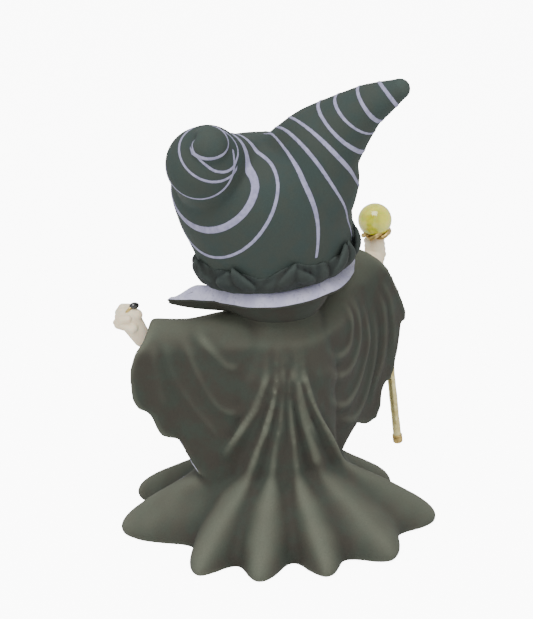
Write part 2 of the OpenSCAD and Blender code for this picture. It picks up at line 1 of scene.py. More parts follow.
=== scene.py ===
"""Looks of the animated witch figure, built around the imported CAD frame.

Lengths are millimetres until a mesh is made."""
import json
import math

import bmesh
import bpy
import numpy as np
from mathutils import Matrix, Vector


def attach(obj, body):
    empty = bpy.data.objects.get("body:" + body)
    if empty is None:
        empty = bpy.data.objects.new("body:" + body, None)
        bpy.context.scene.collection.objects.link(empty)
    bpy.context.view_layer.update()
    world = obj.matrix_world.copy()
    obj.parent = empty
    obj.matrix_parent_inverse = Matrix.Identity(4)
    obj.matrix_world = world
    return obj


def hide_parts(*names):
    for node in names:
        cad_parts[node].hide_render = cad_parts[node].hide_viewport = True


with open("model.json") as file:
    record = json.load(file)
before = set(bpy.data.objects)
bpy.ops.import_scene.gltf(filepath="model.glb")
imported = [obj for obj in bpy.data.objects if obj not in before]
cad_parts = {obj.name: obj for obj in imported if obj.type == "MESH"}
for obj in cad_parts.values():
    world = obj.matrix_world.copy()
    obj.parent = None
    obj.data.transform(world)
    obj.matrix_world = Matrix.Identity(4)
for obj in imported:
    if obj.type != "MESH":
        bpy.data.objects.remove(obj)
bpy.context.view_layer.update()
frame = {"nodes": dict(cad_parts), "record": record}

MM = 0.001
WALL = 2.2
ROBE_TOP_Z = 106.5

# Robe: azimuth and radius of each lobe tip and notch of the hem
HEM = [(-50, 70), (-36, 55), (-19, 72), (9, 48), (28, 65), (40, 50), (53, 61), (70, 45), (82, 61), (97, 52),
       (112, 67), (131, 60), (148, 75), (166, 52), (182, 66), (198, 50), (214, 68), (231, 50), (247, 65),
       (262, 49), (278, 66), (294, 52), (310, 70)]
# Height and radius of the robe above its flare, and of the room inside it
WAIST = [(0, 31), (25, 30.5), (36, 28), (45, 27.3), (60, 26.5), (80, 27), (95, 24), (101, 20.5), (107, 16.5)]
CAVITY = [(-2, 40.2), (2.5, 40.2), (2.6, 37), (7, 37), (13, 33), (19, 29), (26, 26.8), (36, 25), (60, 24.2),
          (80, 24.3), (95, 21.5), (101, 18), (110, 14.2)]
FLARE_FOOT, FLARE_TOP = 2, 36
WAIST_R, MEAN_LOBE_R, LOBE_SWING = 31, 58, 9
# The folds of the back close up towards this azimuth, and end at this height
FAN_AZ, FAN_Z, FAN_CLOSE = 70, 100, 0.78
FOLD_DEPTH = 2.3
SHOULDER_Z = 105

ARM_PIVOT = (17.73, -3.13)
HEAD_C = np.array([0, -3, 131.5])
EYE_R = 2.9


# ---- small maths ----
def table(x, pairs):
    return np.interp(x, *np.transpose(pairs))


def smooth(x):
    c = np.clip(x, 0, 1)
    return c * c * (3 - 2 * c)


def unit(v):
    v = np.asarray(v, float)
    return v / np.linalg.norm(v, axis=-1, keepdims=True)


def spline(rows, steps):
    """A smooth curve through every row."""
    p = np.array(rows, float)
    p = np.vstack([2 * p[0] - p[1], p, 2 * p[-1] - p[-2]])
    t = np.linspace(0, 1, steps, endpoint=False)[:, None]
    parts = [0.5 * (2 * b + (c - a) * t + (2 * a - 5 * b + 4 * c - d) * t**2 + (3 * b - a - 3 * c + d) * t**3)
             for a, b, c, d in zip(p, p[1:], p[2:], p[3:])]
    return np.vstack(parts + [p[-2:-1]])


def whole_turn(n):
    """n azimuths round a whole turn."""
    return np.linspace(0, 360, n, endpoint=False)


def cosd(a):
    return np.cos(np.radians(a))


def sind(a):
    return np.sin(np.radians(a))


def value_noise(p, scale, seed):
    """Smooth noise from -1 to 1 at points p, as a sum of a few seeded sine waves."""
    rng = np.random.default_rng(seed)
    out = np.zeros(len(p))
    for _ in range(10):
        k = unit(rng.normal(size=3)) / scale * rng.uniform(0.7, 1.6)
        out += np.sin(p @ k * 2 * math.pi + rng.uniform(0, 2 * math.pi))
    return out / 3.2


# ---- mesh making ----
def added(name, data):
    """A new object in the scene."""
    obj = bpy.data.objects.new(name, data)
    bpy.context.scene.collection.objects.link(obj)
    return obj


def new_object(name, verts, faces, material=None):
    mesh = bpy.data.meshes.new(name)
    mesh.from_pydata((np.asarray(verts, float) * MM).tolist(), [], faces)
    mesh.update()
    if material is not None:
        mesh.materials.append(material)
    return added(name, mesh)


def new_solid(name, verts, faces, material):
    """A new object with its faces turned outward."""
    obj = new_object(name, verts, faces, material)
    bm = bmesh.new()
    bm.from_mesh(obj.data)
    bmesh.ops.recalc_face_normals(bm, faces=bm.faces)
    bm.to_mesh(obj.data)
    bm.free()
    return obj


def loft(name, rings, material=None):
    """A closed solid through rings (m, n, 3), with a fan at each end."""
    rings = np.asarray(rings, float)
    m, n = rings.shape[:2]
    verts = np.vstack([rings.reshape(-1, 3), rings[0].mean(0), rings[-1].mean(0)])
    faces = [(i * n + j, i * n + (j + 1) % n, (i + 1) * n + (j + 1) % n, (i + 1) * n + j)
             for i in range(m - 1) for j in range(n)]
    faces += [((j + 1) % n, j, m * n) for j in range(n)]
    faces += [((m - 1) * n + j, (m - 1) * n + (j + 1) % n, m * n + 1) for j in range(n)]
    return new_solid(name, verts, faces, material)


def circles(path, radii, tangent, n, squash=1.0):
    """A ring of n points round each point of a path, square to its tangent."""
    radii = np.broadcast_to(radii, len(path))
    side = unit(np.cross([0.31, 0.17, 0.93], tangent))
    top = np.cross(tangent, side)
    a = np.radians(whole_turn(n))[:, None]
    ring = side[:, None] * np.cos(a) + squash * top[:, None] * np.sin(a)
    return path[:, None] + radii[:, None, None] * ring


def tube_rings(path, radii, n, squash=1.0):
    return circles(path, radii, unit(np.gradient(path, axis=0)), n, squash)


def closed_band(name, rings, material):
    """Solid whose rings (m, n, 3) run round and join the first again."""
    m, n = rings.shape[:2]
    faces = [(i * n + j, i * n + (j + 1) % n, ((i + 1) % m) * n + (j + 1) % n, ((i + 1) % m) * n + j)
             for i in range(m) for j in range(n)]
    return new_solid(name, rings.reshape(-1, 3), faces, material)


def closed_tube(name, path, radius, n, material):
    """Tube round a closed path, for a ring or a rope."""
    tangent = unit(np.roll(path, -1, 0) - np.roll(path, 1, 0))
    return closed_band(name, circles(path, radius, tangent, n), material)


def around(a, r, z):
    """Points at azimuth a, radius r and height z."""
    a, r, z = np.broadcast_arrays(a, r, z)
    return np.stack([r * cosd(a), r * sind(a), z], -1)


def ellipsoid_rings(centre, radii, m, n):
    e = np.linspace(-88, 88, m)
    a = whole_turn(n)
    return np.stack([np.stack([radii[0] * cosd(x) * cosd(a), radii[1] * cosd(x) * sind(a),
                               np.full(n, radii[2] * sind(x))], 1) for x in e]) + centre


def capsule_rings(p, q, rp, rq):
    d = unit(q - p)
    t = np.linspace(-80, 0, 7)
    path = np.vstack([p + d * rp * sind(t)[:, None], q - d * rq * sind(t[::-1])[:, None]])
    radii = np.concatenate([rp * cosd(t), rq * cosd(t[::-1])])
    return circles(path, radii, np.broadcast_to(d, path.shape), 20)


def join(objs, name):
    bpy.ops.object.select_all(action="DESELECT")
    for o in objs:
        o.select_set(True)
    bpy.context.view_layer.objects.active = objs[0]
    bpy.ops.object.join()
    objs[0].name = name
    return objs[0]


def bake_modifiers(obj):
    """Replaces obj's mesh with its evaluated one and drops its modifiers."""
    bpy.context.view_layer.update()
    dg = bpy.context.evaluated_depsgraph_get()
    mesh = bpy.data.meshes.new_from_object(obj.evaluated_get(dg))
    obj.modifiers.clear()
    obj.data = mesh


def remesh(obj, voxel, rounds):
    """Makes obj one even skin, smoothed in so many rounds."""
    m = obj.modifiers.new("voxels", "REMESH")
    m.mode = "VOXEL"
    m.voxel_size = voxel * MM
    s = obj.modifiers.new("smooth", "SMOOTH")
    s.iterations = rounds
    bake_modifiers(obj)


def carve(obj, cutter):
    """Takes cutter away from obj. The cut faces keep the cutter's material."""
    b = obj.modifiers.new("cut", "BOOLEAN")
    b.operation = "DIFFERENCE"
    b.object = cutter
    b.solver = "MANIFOLD"
    b.material_mode = "TRANSFER"
    bake_modifiers(obj)
    bpy.data.objects.remove(cutter)


def gathered(items, key, width, kind=float):
    out = np.empty(len(items) * width, kind)
    items.foreach_get(key, out)
    return out.reshape(-1, width)


def coords(obj):
    return gathered(obj.data.vertices, "co", 3) / MM


def set_coords(obj, co):
    obj.data.vertices.foreach_set("co", (co * MM).ravel())
    obj.data.update()


def normals(obj):
    return gathered(obj.data.vertices, "normal", 3)


def edge_pairs(obj):
    return gathered(obj.data.edges, "vertices", 2, int)


def averaged(co, pairs, rounds):
    """co after rounds of Laplacian averaging over the mesh's edges."""
    n = len(co)
    a, b = np.concatenate([pairs[:, 0], pairs[:, 1]]), np.concatenate([pairs[:, 1], pairs[:, 0]])
    count = np.maximum(np.bincount(a, minlength=n), 1)[:, None]
    for _ in range(rounds):
        co = 0.5 * co + 0.5 * np.stack([np.bincount(a, co[b, k], n) for k in range(3)], 1) / count
    return co


def attribute(obj, name, values):
    at = obj.data.attributes.get(name) or obj.data.attributes.new(name, "FLOAT", "POINT")
    at.data.foreach_set("value", np.asarray(values, np.float32))


def mark_relief(obj, rounds, size, top=0.0):
    """Stores how far each point stands above (1) or below (0) the shape around it, for painted shade in the
    hollows and a painted highlight on the ridges.

    Surfaces that face up get a painted highlight, as if lit from above, by top."""
    co, no = coords(obj), normals(obj)
    lift = np.einsum("ij,ij->i", co - averaged(co, edge_pairs(obj), rounds), no)
    attribute(obj, "shade_relief", np.clip(0.5 + lift / (2 * size) + top * np.maximum(0, no[:, 2]), 0, 1))


def shade(obj, angle=38):
    """Smooth shading with sharp edges where faces meet at more than angle."""
    bm = bmesh.new()
    bm.from_mesh(obj.data)
    for f in bm.faces:
        f.smooth = True
    limit = math.radians(angle)
    for e in bm.edges:
        e.smooth = len(e.link_faces) == 2 and e.calc_face_angle(0) < limit
    bm.to_mesh(obj.data)
    bm.free()


def finish_piece(obj, body, slot, *replaced):
    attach(obj, body)
    if replaced:
        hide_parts(*replaced)


# ---- materials ----
def srgb(r, g, b):
    return tuple(((c / 255 + 0.055) / 1.055) ** 2.4 if c > 10 else c / 255 / 12.92 for c in (r, g, b)) + (1,)


class Paint:
    """A node material under construction."""

    def __init__(self, name, roughness, **sockets):
        self.material = bpy.data.materials.new(name)
        self.material.use_nodes = True
        self.tree = self.material.node_tree
        self.shader = self.tree.nodes["Principled BSDF"]
        self.shader.inputs["Roughness"].default_value = roughness
        for key, value in sockets.items():
            self.shader.inputs[key.replace("_", " ")].default_value = value
        self.place = self.tree.nodes.new("ShaderNodeTexCoord").outputs["Object"]

    def node(self, kind, **inputs):
        n = self.tree.nodes.new(kind)
        for key, value in inputs.items():
            self.plug(n.inputs[key.replace("_", " ")], value)
        return n

    def plug(self, socket, value):
        """Links an output to a socket, or sets its value. A tuple is an sRGB colour of 0 to 255."""
        if isinstance(value, bpy.types.NodeSocket):
            self.tree.links.new(value, socket)
        else:
            socket.default_value = srgb(*value) if isinstance(value, tuple) else value

    def noise(self, size_mm, detail=4, rough=0.55):
        n = self.node("ShaderNodeTexNoise", Vector=self.place, Scale=1 / (size_mm * MM), Detail=detail,
                      Roughness=rough)
        return n.outputs["Fac"]

    def attr(self, name):
        n = self.tree.nodes.new("ShaderNodeAttribute")
        n.attribute_name = name
        return n.outputs["Fac"]

    def math(self, op, a, b=0.0, c=0.0):
        n = self.tree.nodes.new("ShaderNodeMath")
        n.operation = op
        for socket, value in zip(n.inputs, (a, b, c)):
            self.plug(socket, value)
        return n.outputs[0]

    def span(self, x, lo, hi):
        """0 at lo and 1 at hi, smoothly."""
        n = self.node("ShaderNodeMapRange", Value=x, From_Min=lo, From_Max=hi)
        n.interpolation_type = "SMOOTHSTEP"
        return n.outputs[0]

    def mix(self, fac, a, b):
        n = self.tree.nodes.new("ShaderNodeMix")
        n.data_type = "RGBA"
        for socket, value in zip((n.inputs[0], n.inputs[6], n.inputs[7]), (fac, a, b)):
            self.plug(socket, value)
        return n.outputs[2]

    def colour(self, value):
        self.plug(self.shader.inputs["Base Color"], value)

    def rough(self, fac, lo, hi):
        n = self.node("ShaderNodeMapRange", Value=fac, To_Min=lo, To_Max=hi)
        self.plug(self.shader.inputs["Roughness"], n.outputs[0])

    def bump(self, height, depth_mm, strength=1.0):
        n = self.node("ShaderNodeBump", Height=height, Distance=depth_mm * MM, Strength=strength)
        self.plug(self.shader.inputs["Normal"], n.outputs[0])


# Robe colours: painted shade for the folds, its own middle tone, painted highlight for the ridges, and two
# tones it drifts between
ROBE_FOLD_SHADE = (30, 31, 27)
OLIVE = (52, 53, 47)
ROBE_RIDGE_HIGHLIGHT = (100, 103, 90)
BROWN = (55, 48, 42)
GREEN = (50, 60, 52)


def cloth_paint(name, dark, mid, light, warm, cool):
    """Matte paint with painted shade in the folds and a painted highlight on the ridges."""
    p = Paint(name, 0.82, Specular_IOR_Level=0.28)
    shade_relief = p.attr("shade_relief")
    speck = p.noise(0.55, 3, 0.7)
    base = p.mix(0.55, p.mix(p.span(p.noise(9, 3), 0.35, 0.68), warm, cool), mid)
    # painted shade: darker in the folds, where the relief is low
    base = p.mix(p.span(shade_relief, 0.5, 0.08), base, dark)
    # painted highlight: lighter on the ridges and on surfaces that face up
    base = p.mix(p.math("MULTIPLY", p.span(shade_relief, 0.5, 0.98), 0.72), base, light)
    grain = p.node("ShaderNodeHueSaturation", Color=base, Value=p.math("MULTIPLY_ADD", speck, 0.5, 0.75))
    p.colour(grain.outputs[0])
    p.rough(speck, 0.74, 0.92)
    p.bump(p.math("MULTIPLY_ADD", p.noise(0.35, 2), 0.6, speck), 0.06, 0.55)
    return p


def lavender_paint(name):
    p = Paint(name, 0.7, Specular_IOR_Level=0.3)
    base = p.mix(p.span(p.noise(5, 3), 0.3, 0.7), (170, 168, 196), (188, 186, 208))
    p.colour(p.mix(p.span(p.noise(1.1, 4), 0.52, 0.75), base, (150, 147, 178)))
    p.bump(p.noise(0.5, 3), 0.05, 0.5)
    return p.material


ROBE = cloth_paint("robe_paint", ROBE_FOLD_SHADE, OLIVE, ROBE_RIDGE_HIGHLIGHT, BROWN, GREEN).material
# Inside surfaces: painted shade in the folds, their own middle tone, painted highlight on the ridges, and two
# tones they drift between
UNDER = cloth_paint("robe_under_paint", (38, 39, 36), (48, 50, 46), (64, 66, 60), (44, 42, 38),
                    (48, 54, 50)).material
LAVENDER = lavender_paint("lavender_paint")


# ---- robe and sleeves ----
def hem_r(a):
    """Radius of the hem at azimuth a, with a cosine between one lobe tip or notch and the next."""
    b = (a - HEM[0][0]) % 360 + HEM[0][0]
    az, r = np.array(HEM, float).T
    k = np.clip(np.searchsorted(az, b, side="right") - 1, 0, len(az) - 2)
    t = (b - az[k]) / (az[k + 1] - az[k])
    return r[k] + (r[k + 1] - r[k]) * (1 - np.cos(np.pi * t)) / 2


def flare(z):
    """1 at the hem and 0 at the top of the flare."""
    t = np.clip((z - FLARE_FOOT) / (FLARE_TOP - FLARE_FOOT), 0, 1)
    return (1 + np.cos(np.pi * t)) / 2


def robe_r(a, z):
    """Outer radius of the robe: lobes at the hem, and folds that close up towards the middle of the back."""
    a, z = np.broadcast_arrays(a, z)
    u = (a - FAN_AZ + 180) % 360 - 180
    close = 1 - FAN_CLOSE * smooth((z - 10) / 75)
    fold_az = FAN_AZ + np.clip(u / close, -118, 118)
    depth = FOLD_DEPTH * smooth((z - 12) / 20) * smooth((FAN_Z - z) / 34)
    inside = smooth((112 * close - np.abs(u)) / 16)
    fold = (hem_r(fold_az) - MEAN_LOBE_R) / LOBE_SWING
    toe = np.where(z < 3, -0.12 * (3 - z) ** 2, 0)
    return np.maximum(table(z, WAIST) + (hem_r(a) - WAIST_R) * flare(z) + depth * fold * inside + toe,
                      table(z, CAVITY) + 1.6)


def robe_solid():
    z = np.concatenate([np.linspace(0, 12, 16), np.linspace(12.8, ROBE_TOP_Z, 110)])
    a = whole_turn(720)
    return loft("robe", [around(a, robe_r(a, h), h) for h in z], ROBE)


class Sleeve:
    """A draped bell sleeve hanging from its arm: t runs outward along the arm, z up, b to the rear.

    Its section is a round crest with two skirts hanging from it. s runs from 0 at the robe to 1 at the
    mouth, and v from -1 at the front hem over the crest to 1 at the rear hem."""

    CREST = 0.36  # share of the section that is the round crest
    HALF, SPREAD, TUCK = 10.5, 1.6, 3.5  # half width at the robe, what the mouth adds, what the hem loses

    def __init__(self, az, side, top, fall, fill, reach, edge, front, drop, hem):
        self.dir = np.array([cosd(az), sind(az)])
        self.rear_dir = side * np.array([-sind(az), cosd(az)])
        self.off = np.array([ARM_PIVOT[0] * side, ARM_PIVOT[1]]) @ self.rear_dir
        # top: height of the crest at the mouth, which it reaches at the share fall of the way out
        self.top, self.fall = top, fall
        # fill: how far the rear bulges beside the robe
        self.fill = fill
        # reach: of the crest; front: what the front edge adds to it, over the height drop
        self.reach, self.front, self.drop = reach, front, drop
        # edge: (height, reach) of the rear's outer edge
        self.edge = edge
        # hem: (share of the way out, height) of the hem's lobes and notches
        self.hem = hem

    def section(self, s, v, inset, lower, lift):
        """Points v of the section at s; inset, lower and lift shape the hollow inside it."""
        ztop = SHOULDER_Z + (self.top - SHOULDER_Z) * smooth(s / self.fall) - inset
        half = self.HALF + self.SPREAD * s - inset
        arc = np.minimum(1, np.abs(v) / self.CREST)
        q = np.clip((np.abs(v) - self.CREST) / (1 - self.CREST), 0, 1)
        zs = ztop - half * (1 - cosd(90 * arc))
        zh = table(s, self.hem) - lower * (2.5 * smooth(s / 0.3) - 1.5)
        z = zs + (zh - zs) * q
        b = np.where(v < 0, -1, 1) * (half * sind(90 * arc) - self.TUCK * q)
        b = b + np.where(v > 0, self.fill * (1 - smooth(s / 0.6)) * arc, 0)
        depth = np.clip((ztop + inset - z) / self.drop, 0, 1) ** 1.3
        t1 = np.where(v > 0, table(z, self.edge), self.reach + self.front * depth)
        rho = table(z, WAIST) + 13 * flare(z) - lift
        t0 = np.sqrt(np.maximum(4, rho**2 - (self.off + b) ** 2))
        t = t0 + (t1 - t0) * s
        p = self.dir * t[:, None] + self.rear_dir * (self.off + b)[:, None]
        return np.column_stack([p, z])

    def local(self, co):
        """t, b and z of points."""
        return co[:, :2] @ self.dir, co[:, :2] @ self.rear_dir - self.off, co[:, 2]

    def solid(self, name, inset=0.0, lower=0.0, lift=1.4, s_from=0.0, s_to=1.0, material=None):
        side = np.linspace(1, self.CREST, 50)
        v = np.concatenate([side, np.linspace(0.34, -0.34, 40), -side[::-1]])
        rings = [self.section(s, v, inset, lower, lift) for s in np.linspace(s_from, s_to, 90)]
        return loft(name, rings, material)


LEFT = Sleeve(az=-31, side=1, top=100.5, fall=0.6, fill=6, reach=54.6, front=10.5, drop=27,
              edge=[(46, 60), (62, 62.5), (70, 64), (80, 64), (90, 61), (95, 56.8), (101, 54.6)],
              hem=[(0, 26), (0.12, 27), (0.3, 30.5), (0.4, 35), (0.48, 40), (0.53, 45.5), (0.6, 46.5),
                   (0.73, 47), (0.78, 50), (0.83, 57.5), (0.88, 59.5), (0.96, 60.5), (1, 66)])
RIGHT = Sleeve(az=201.5, side=-1, top=118.5, fall=1, fill=9.5, reach=57.5, front=8, drop=32,
               edge=[(30, 90), (77, 90), (86, 84.5), (98, 75), (108, 67), (118.5, 57.5)],
               hem=[(0, 28), (0.12, 32), (0.25, 35), (0.33, 36.5), (0.42, 33), (0.52, 30), (0.64, 30.5),
                    (0.695, 37), (0.71, 46), (0.76, 47), (0.82, 48), (0.87, 57), (0.9, 75.5), (0.95, 74.5),
                    (1, 79)])


def stroke(points, path, width, height):
    """Height of a soft ridge along a smooth 2-D path, at 2-D points; it fades out towards both ends."""
    path = spline(path, 6)
    best, share = np.full(len(points), 1e9), np.zeros(len(points))
    for k, (p, q) in enumerate(zip(path[:-1], path[1:])):
        d = q - p
        t = np.clip((points - p) @ d / (d @ d), 0, 1)
        off = np.linalg.norm(points - p - t[:, None] * d, axis=1)
        share = np.where(off < best, (k + t) / (len(path) - 1), share)
        best = np.minimum(best, off)
    return height * np.exp(-((best / width) ** 2)) * smooth(share / 0.25) * smooth((1 - share) / 0.3)


def highest(points, strokes):
    return np.max([stroke(points, *one) for one in strokes], axis=0)


def sculpt_sleeve(co, sleeve, strokes):
    """How far the rear of a sleeve is raised at each point."""
    t, b, z = sleeve.local(co)
    return highest(np.stack([t, z], 1), strokes) * smooth((b - 1) / 5) * smooth((t + 12) / 8)


# Ridges of the draped cloth: each a line of (reach along the arm, height), its half width and its height
LEFT_STROKES = [([(36, 100), (28, 92), (20, 85), (12, 86)], 2.5, 0.72),
                ([(41, 99), (35, 84), (26, 67), (17, 63), (8, 70)], 2.5, 0.72),
                ([(49, 99), (44, 79), (36, 65), (28, 55), (22, 47)], 2.8, 0.63),
                ([(53, 95), (51, 75), (47, 59)], 3.0, 0.54)]
RIGHT_STROKES = [([(28, 104), (30, 92), (26, 83), (15, 82), (3, 90)], 2.6, 1),
                 ([(33, 105), (38, 92), (37, 79), (26, 71), (12, 74), (0, 82)], 2.9, 1.2),
                 ([(40, 106), (47, 89), (48, 73), (39, 59), (24, 55), (9, 63), (1, 70)], 2.9, 1.3),
                 ([(46, 103), (56, 83), (57, 64), (50, 49), (38, 43), (22, 49), (6, 62)], 3.0, 1.2),
                 ([(51, 107), (62, 92), (66, 75), (65, 62), (60, 50), (58, 35)], 3.0, 1.2),
                 ([(56, 108), (67, 94), (74, 76), (75, 56)], 2.9, 0.94)]
# The same on the back: lines of (azimuth, height), and the back's millimetres per degree
PER_DEGREE = 0.47
BACK_STROKES = [([(73, 89), (78, 76), (94, 46), (100, 36)], 2.2, 0.76),
                ([(77, 85), (88, 65), (104, 45)], 2.2, 0.85),
                ([(70, 94), (67, 70), (66, 47)], 2.0, 0.66),
                ([(66, 84), (57, 66), (47, 47)], 2.2, 0.66),
                ([(81, 85), (95, 72), (120, 56)], 2.5, 0.85),
                ([(63, 84), (47, 66), (30, 46)], 2.2, 0.57),
                ([(59, 86), (40, 70), (16, 47)], 2.3, 0.57),
                ([(72, 90), (72, 68), (80, 44)], 2.0, 0.57)]


def sculpt_back(co):
    """How far the back is raised at each point."""
    az = np.degrees(np.arctan2(co[:, 1], co[:, 0]))
    near = np.hypot(co[:, 0], co[:, 1]) - table(co[:, 2], WAIST) < 9
    strokes = [([(spot * PER_DEGREE, z) for spot, z in path], width, height)
               for path, width, height in BACK_STROKES]
    lift = highest(np.stack([az * PER_DEGREE, co[:, 2]], 1), strokes)
    return lift * near * smooth((co[:, 1] + 4) / 6)


def make_robe():
    voxel = 0.9
    sleeves = [LEFT.solid("left", material=ROBE), RIGHT.solid("right", material=ROBE)]
    robe = join([robe_solid()] + sleeves, "robe")
    remesh(robe, voxel, 10)
    co, no = coords(robe), normals(robe)
    co = averaged(co, edge_pairs(robe), 6)
    lift = np.max([sculpt_sleeve(co, LEFT, LEFT_STROKES), sculpt_sleeve(co, RIGHT, RIGHT_STROKES),
                   sculpt_back(co)], axis=0)
    lift += 0.08 * value_noise(co, 14, 3)
    co = averaged(co + no * lift[:, None], edge_pairs(robe), 2)
    co[:, 2] = np.maximum(co[:, 2], 0)
    set_coords(robe, co)
    for sleeve, name, start in ((LEFT, "left_hollow", 0.22), (RIGHT, "right_hollow", 0.0)):
        hollow = sleeve.solid(name, inset=WALL, lower=8, lift=-1.5, s_from=start, s_to=1.1, material=LAVENDER)
        carve(hollow, robe_solid())
        carve(robe, hollow)
    carve(robe, loft("cavity", [around(whole_turn(96), r, z) for z, r in CAVITY], UNDER))
    # painted shade in the folds; painted highlight on the ridges and on surfaces that face up
    mark_relief(robe, 14, 0.55, 0.3)
    shade(robe)
    finish_piece(robe, "base", "robe_paint", "robe_rear", "robe_front", "left_sleeve", "right_sleeve")


# ---- collar ----
# Azimuth and radius of the rim and of the fold, from the left tip round the back to the right tip
COLLAR = [(-19, 48), (-11, 39), (3, 31.5), (25, 29.5), (50, 29.5), (80, 30.7), (110, 31), (143, 33),
          (161, 36), (180, 40), (198, 48)]
COLLAR_FOLD = [(-19, 46.5), (-8, 33), (3, 27), (20, 26), (140, 26), (165, 28), (180, 31), (198, 37)]
COLLAR_Z, COLLAR_FOLD_Z = 117, 121.5
# How steeply the collar rises towards the figure's right
COLLAR_SLOPE = math.tan(math.radians(7))
# Where the outside and the lining start at the neck
ROOT_R, ROOT_Z = 18.4, 103.8
LINING_R, LINING_Z = 17, 104.6


def collar_rim(a):
    """Radius and height of the collar's rim."""
    r = table(a, COLLAR)
    return r, COLLAR_Z - r * cosd(a) * COLLAR_SLOPE


def make_collar():
    """A collar that stands up from the neck to a fold and turns over down to its rim.

    It is dark outside and has a lavender lining."""
    a = np.linspace(COLLAR[0][0], COLLAR[-1][0], 280)
    rim, low = collar_rim(a)
    fold = table(a, COLLAR_FOLD)
    high = COLLAR_FOLD_Z - 22 * cosd(a) * COLLAR_SLOPE
    high = high + (low + 0.8 - high) * smooth((-10 - a) / 9)
    rim = rim + 0.35 * sind(a * 6) + 0.2 * sind(a * 13)
    low = low + 0.3 * sind(a * 5 + 40)
    # the dark outside from root up to under the fold and out to the rim, then the lining back over the fold
    stand = [(ROOT_R + (fold + 0.1 - ROOT_R) * u, ROOT_Z + (high - 3.2 - ROOT_Z) * (0.55 * u + 0.45 * u**3))
             for u in np.linspace(0, 1, 12)]
    under = [(fold + 0.5, high - 2.6), (fold + 1.1 + 0 * a, high - 2.9)]
    under += [(fold + 0.9 + (rim - 0.6 - fold - 0.9) * u, high - 2.7 + (low - 0.9 - high + 2.7) * u**1.25)
              for u in np.linspace(0.25, 1, 6)]
    edge = [(rim - 0.1, low - 0.75), (rim + 0.15, low - 0.3), (rim, low + 0.15)]
    turn = [(rim + (fold - rim) * u, low + (high - low) * (1.25 * u - 0.25 * u**3))
            for u in np.linspace(0.06, 0.94, 12)]
    over = [(fold - 0.35, high + 0.1), (fold - 0.9, high - 0.5), (fold - 1.3, high - 1.6)]
    lining = [(fold - 1.4 + (LINING_R - fold + 1.4) * u,
               high - 2 + (LINING_Z - high + 2) * (1.45 * u - 0.45 * u**3)) for u in np.linspace(0.04, 1, 10)]
    section = stand + under + edge + turn + over + lining
    painted_from = len(stand) + len(under) + 2
    radius = np.stack([np.broadcast_to(q[0], a.shape) for q in section], 1)
    height = np.stack([np.broadcast_to(q[1], a.shape) for q in section], 1)
    rings = around(a[:, None], radius, height)
    collar = loft("collar", rings, ROBE)
    collar.data.materials.append(LAVENDER)
    n, total = len(section), rings.shape[0] * rings.shape[1]
    for f in collar.data.polygons:
        cols = [v % n for v in f.vertices if v < total]
        f.material_index = int(min(cols) >= painted_from)
    # the collar's dark outside gets an even share of the painted fold shade, a little darker than the robe's
    # middle tone
    attribute(collar, "shade_relief", np.full(len(collar.data.vertices), 0.35))
    shade(collar, 50)
    finish_piece(collar, "base", "collar_paint", "collar")


# ---- hat ----
CROWN_TOP_Z = 182.2
# Height and radius of the crown
CROWN = [(104, 30), (112, 30.5), (121, 31), (126, 33), (135, 35.8), (145, 38), (155, 39), (163, 38.4),
         (170, 35.8), (176, 29.5), (179.5, 20), (181.3, 10), (CROWN_TOP_Z, 1)]
CROWN_CURVE = spline(CROWN, 12)
# How far it leans to the left, how far forward its middle lies, and its depth for its width
CROWN_LEAN, CROWN_FORWARD, CROWN_FLATNESS = 6.8, 2, 0.92
# Height of the hat's edge, its drop to the left and its rise over the face
BRIM_Z, BRIM_TILT, FACE_RISE = 124.5, 3.5, 23.5
# Each peak as rows of a middle and a radius, from root to tip; the left one turns back on itself in its tip
LEFT_PEAK = [(16, 0, 158, 26), (26, 2, 166, 21), (34, 6, 172, 17.5), (41, 11.5, 177, 15.5)]
LEFT_TIP = [(37, 9, 176, 15.6), (39.6, 13.2, 180.4, 14.2), (41.6, 17, 184, 11.6), (43.2, 20.6, 187, 8.0)]
RIGHT_PEAK = [(-4, 5, 154, 27), (-9, 11, 168, 24), (-12.5, 16.5, 178.8, 19), (-17, 21.3, 186.2, 15),
              (-24, 29.9, 196.3, 9.8), (-29, 35, 200.8, 7.5), (-34.6, 40.7, 205.4, 4.5)]
# Hat colours: painted shade for its hollows, its own middle tone, painted highlight for its raised parts, and
# two tones it drifts between
HAT = cloth_paint("hat_paint", (26, 31, 30), (50, 59, 56), (72, 84, 80), (56, 60, 53),
                  (46, 60, 58))


def crown_pt(a, z, grow=0.0):
    """Point of the crown at azimuth a and height z, grown outward by grow."""
    a, z = np.broadcast_arrays(a, z)
    r = table(z, CROWN_CURVE) + grow
    lean = CROWN_LEAN * smooth((z - 125) / 40)
    return np.stack([lean + r * cosd(a), CROWN_FLATNESS * r * sind(a) - CROWN_FORWARD, z], -1)


def hat_hem_z(a):
    """Height of the hat's edge, which rises over the face."""
    return BRIM_Z - BRIM_TILT * cosd(a) + FACE_RISE * smooth((-sind(a) - 0.62) / 0.3)


def peak_rings(rows):
    """Rings of a peak, closed by a round tip."""
    curve = spline(rows, 12)
    path, radii = curve[:, :3], curve[:, 3]
    t = np.linspace(12, 88, 8)
    end = unit(path[-1] - path[-2])
    path = np.vstack([path, path[-1] + end * radii[-1] * sind(t)[:, None]])
    return tube_rings(path, np.concatenate([radii, radii[-1] * cosd(t)]), 48)


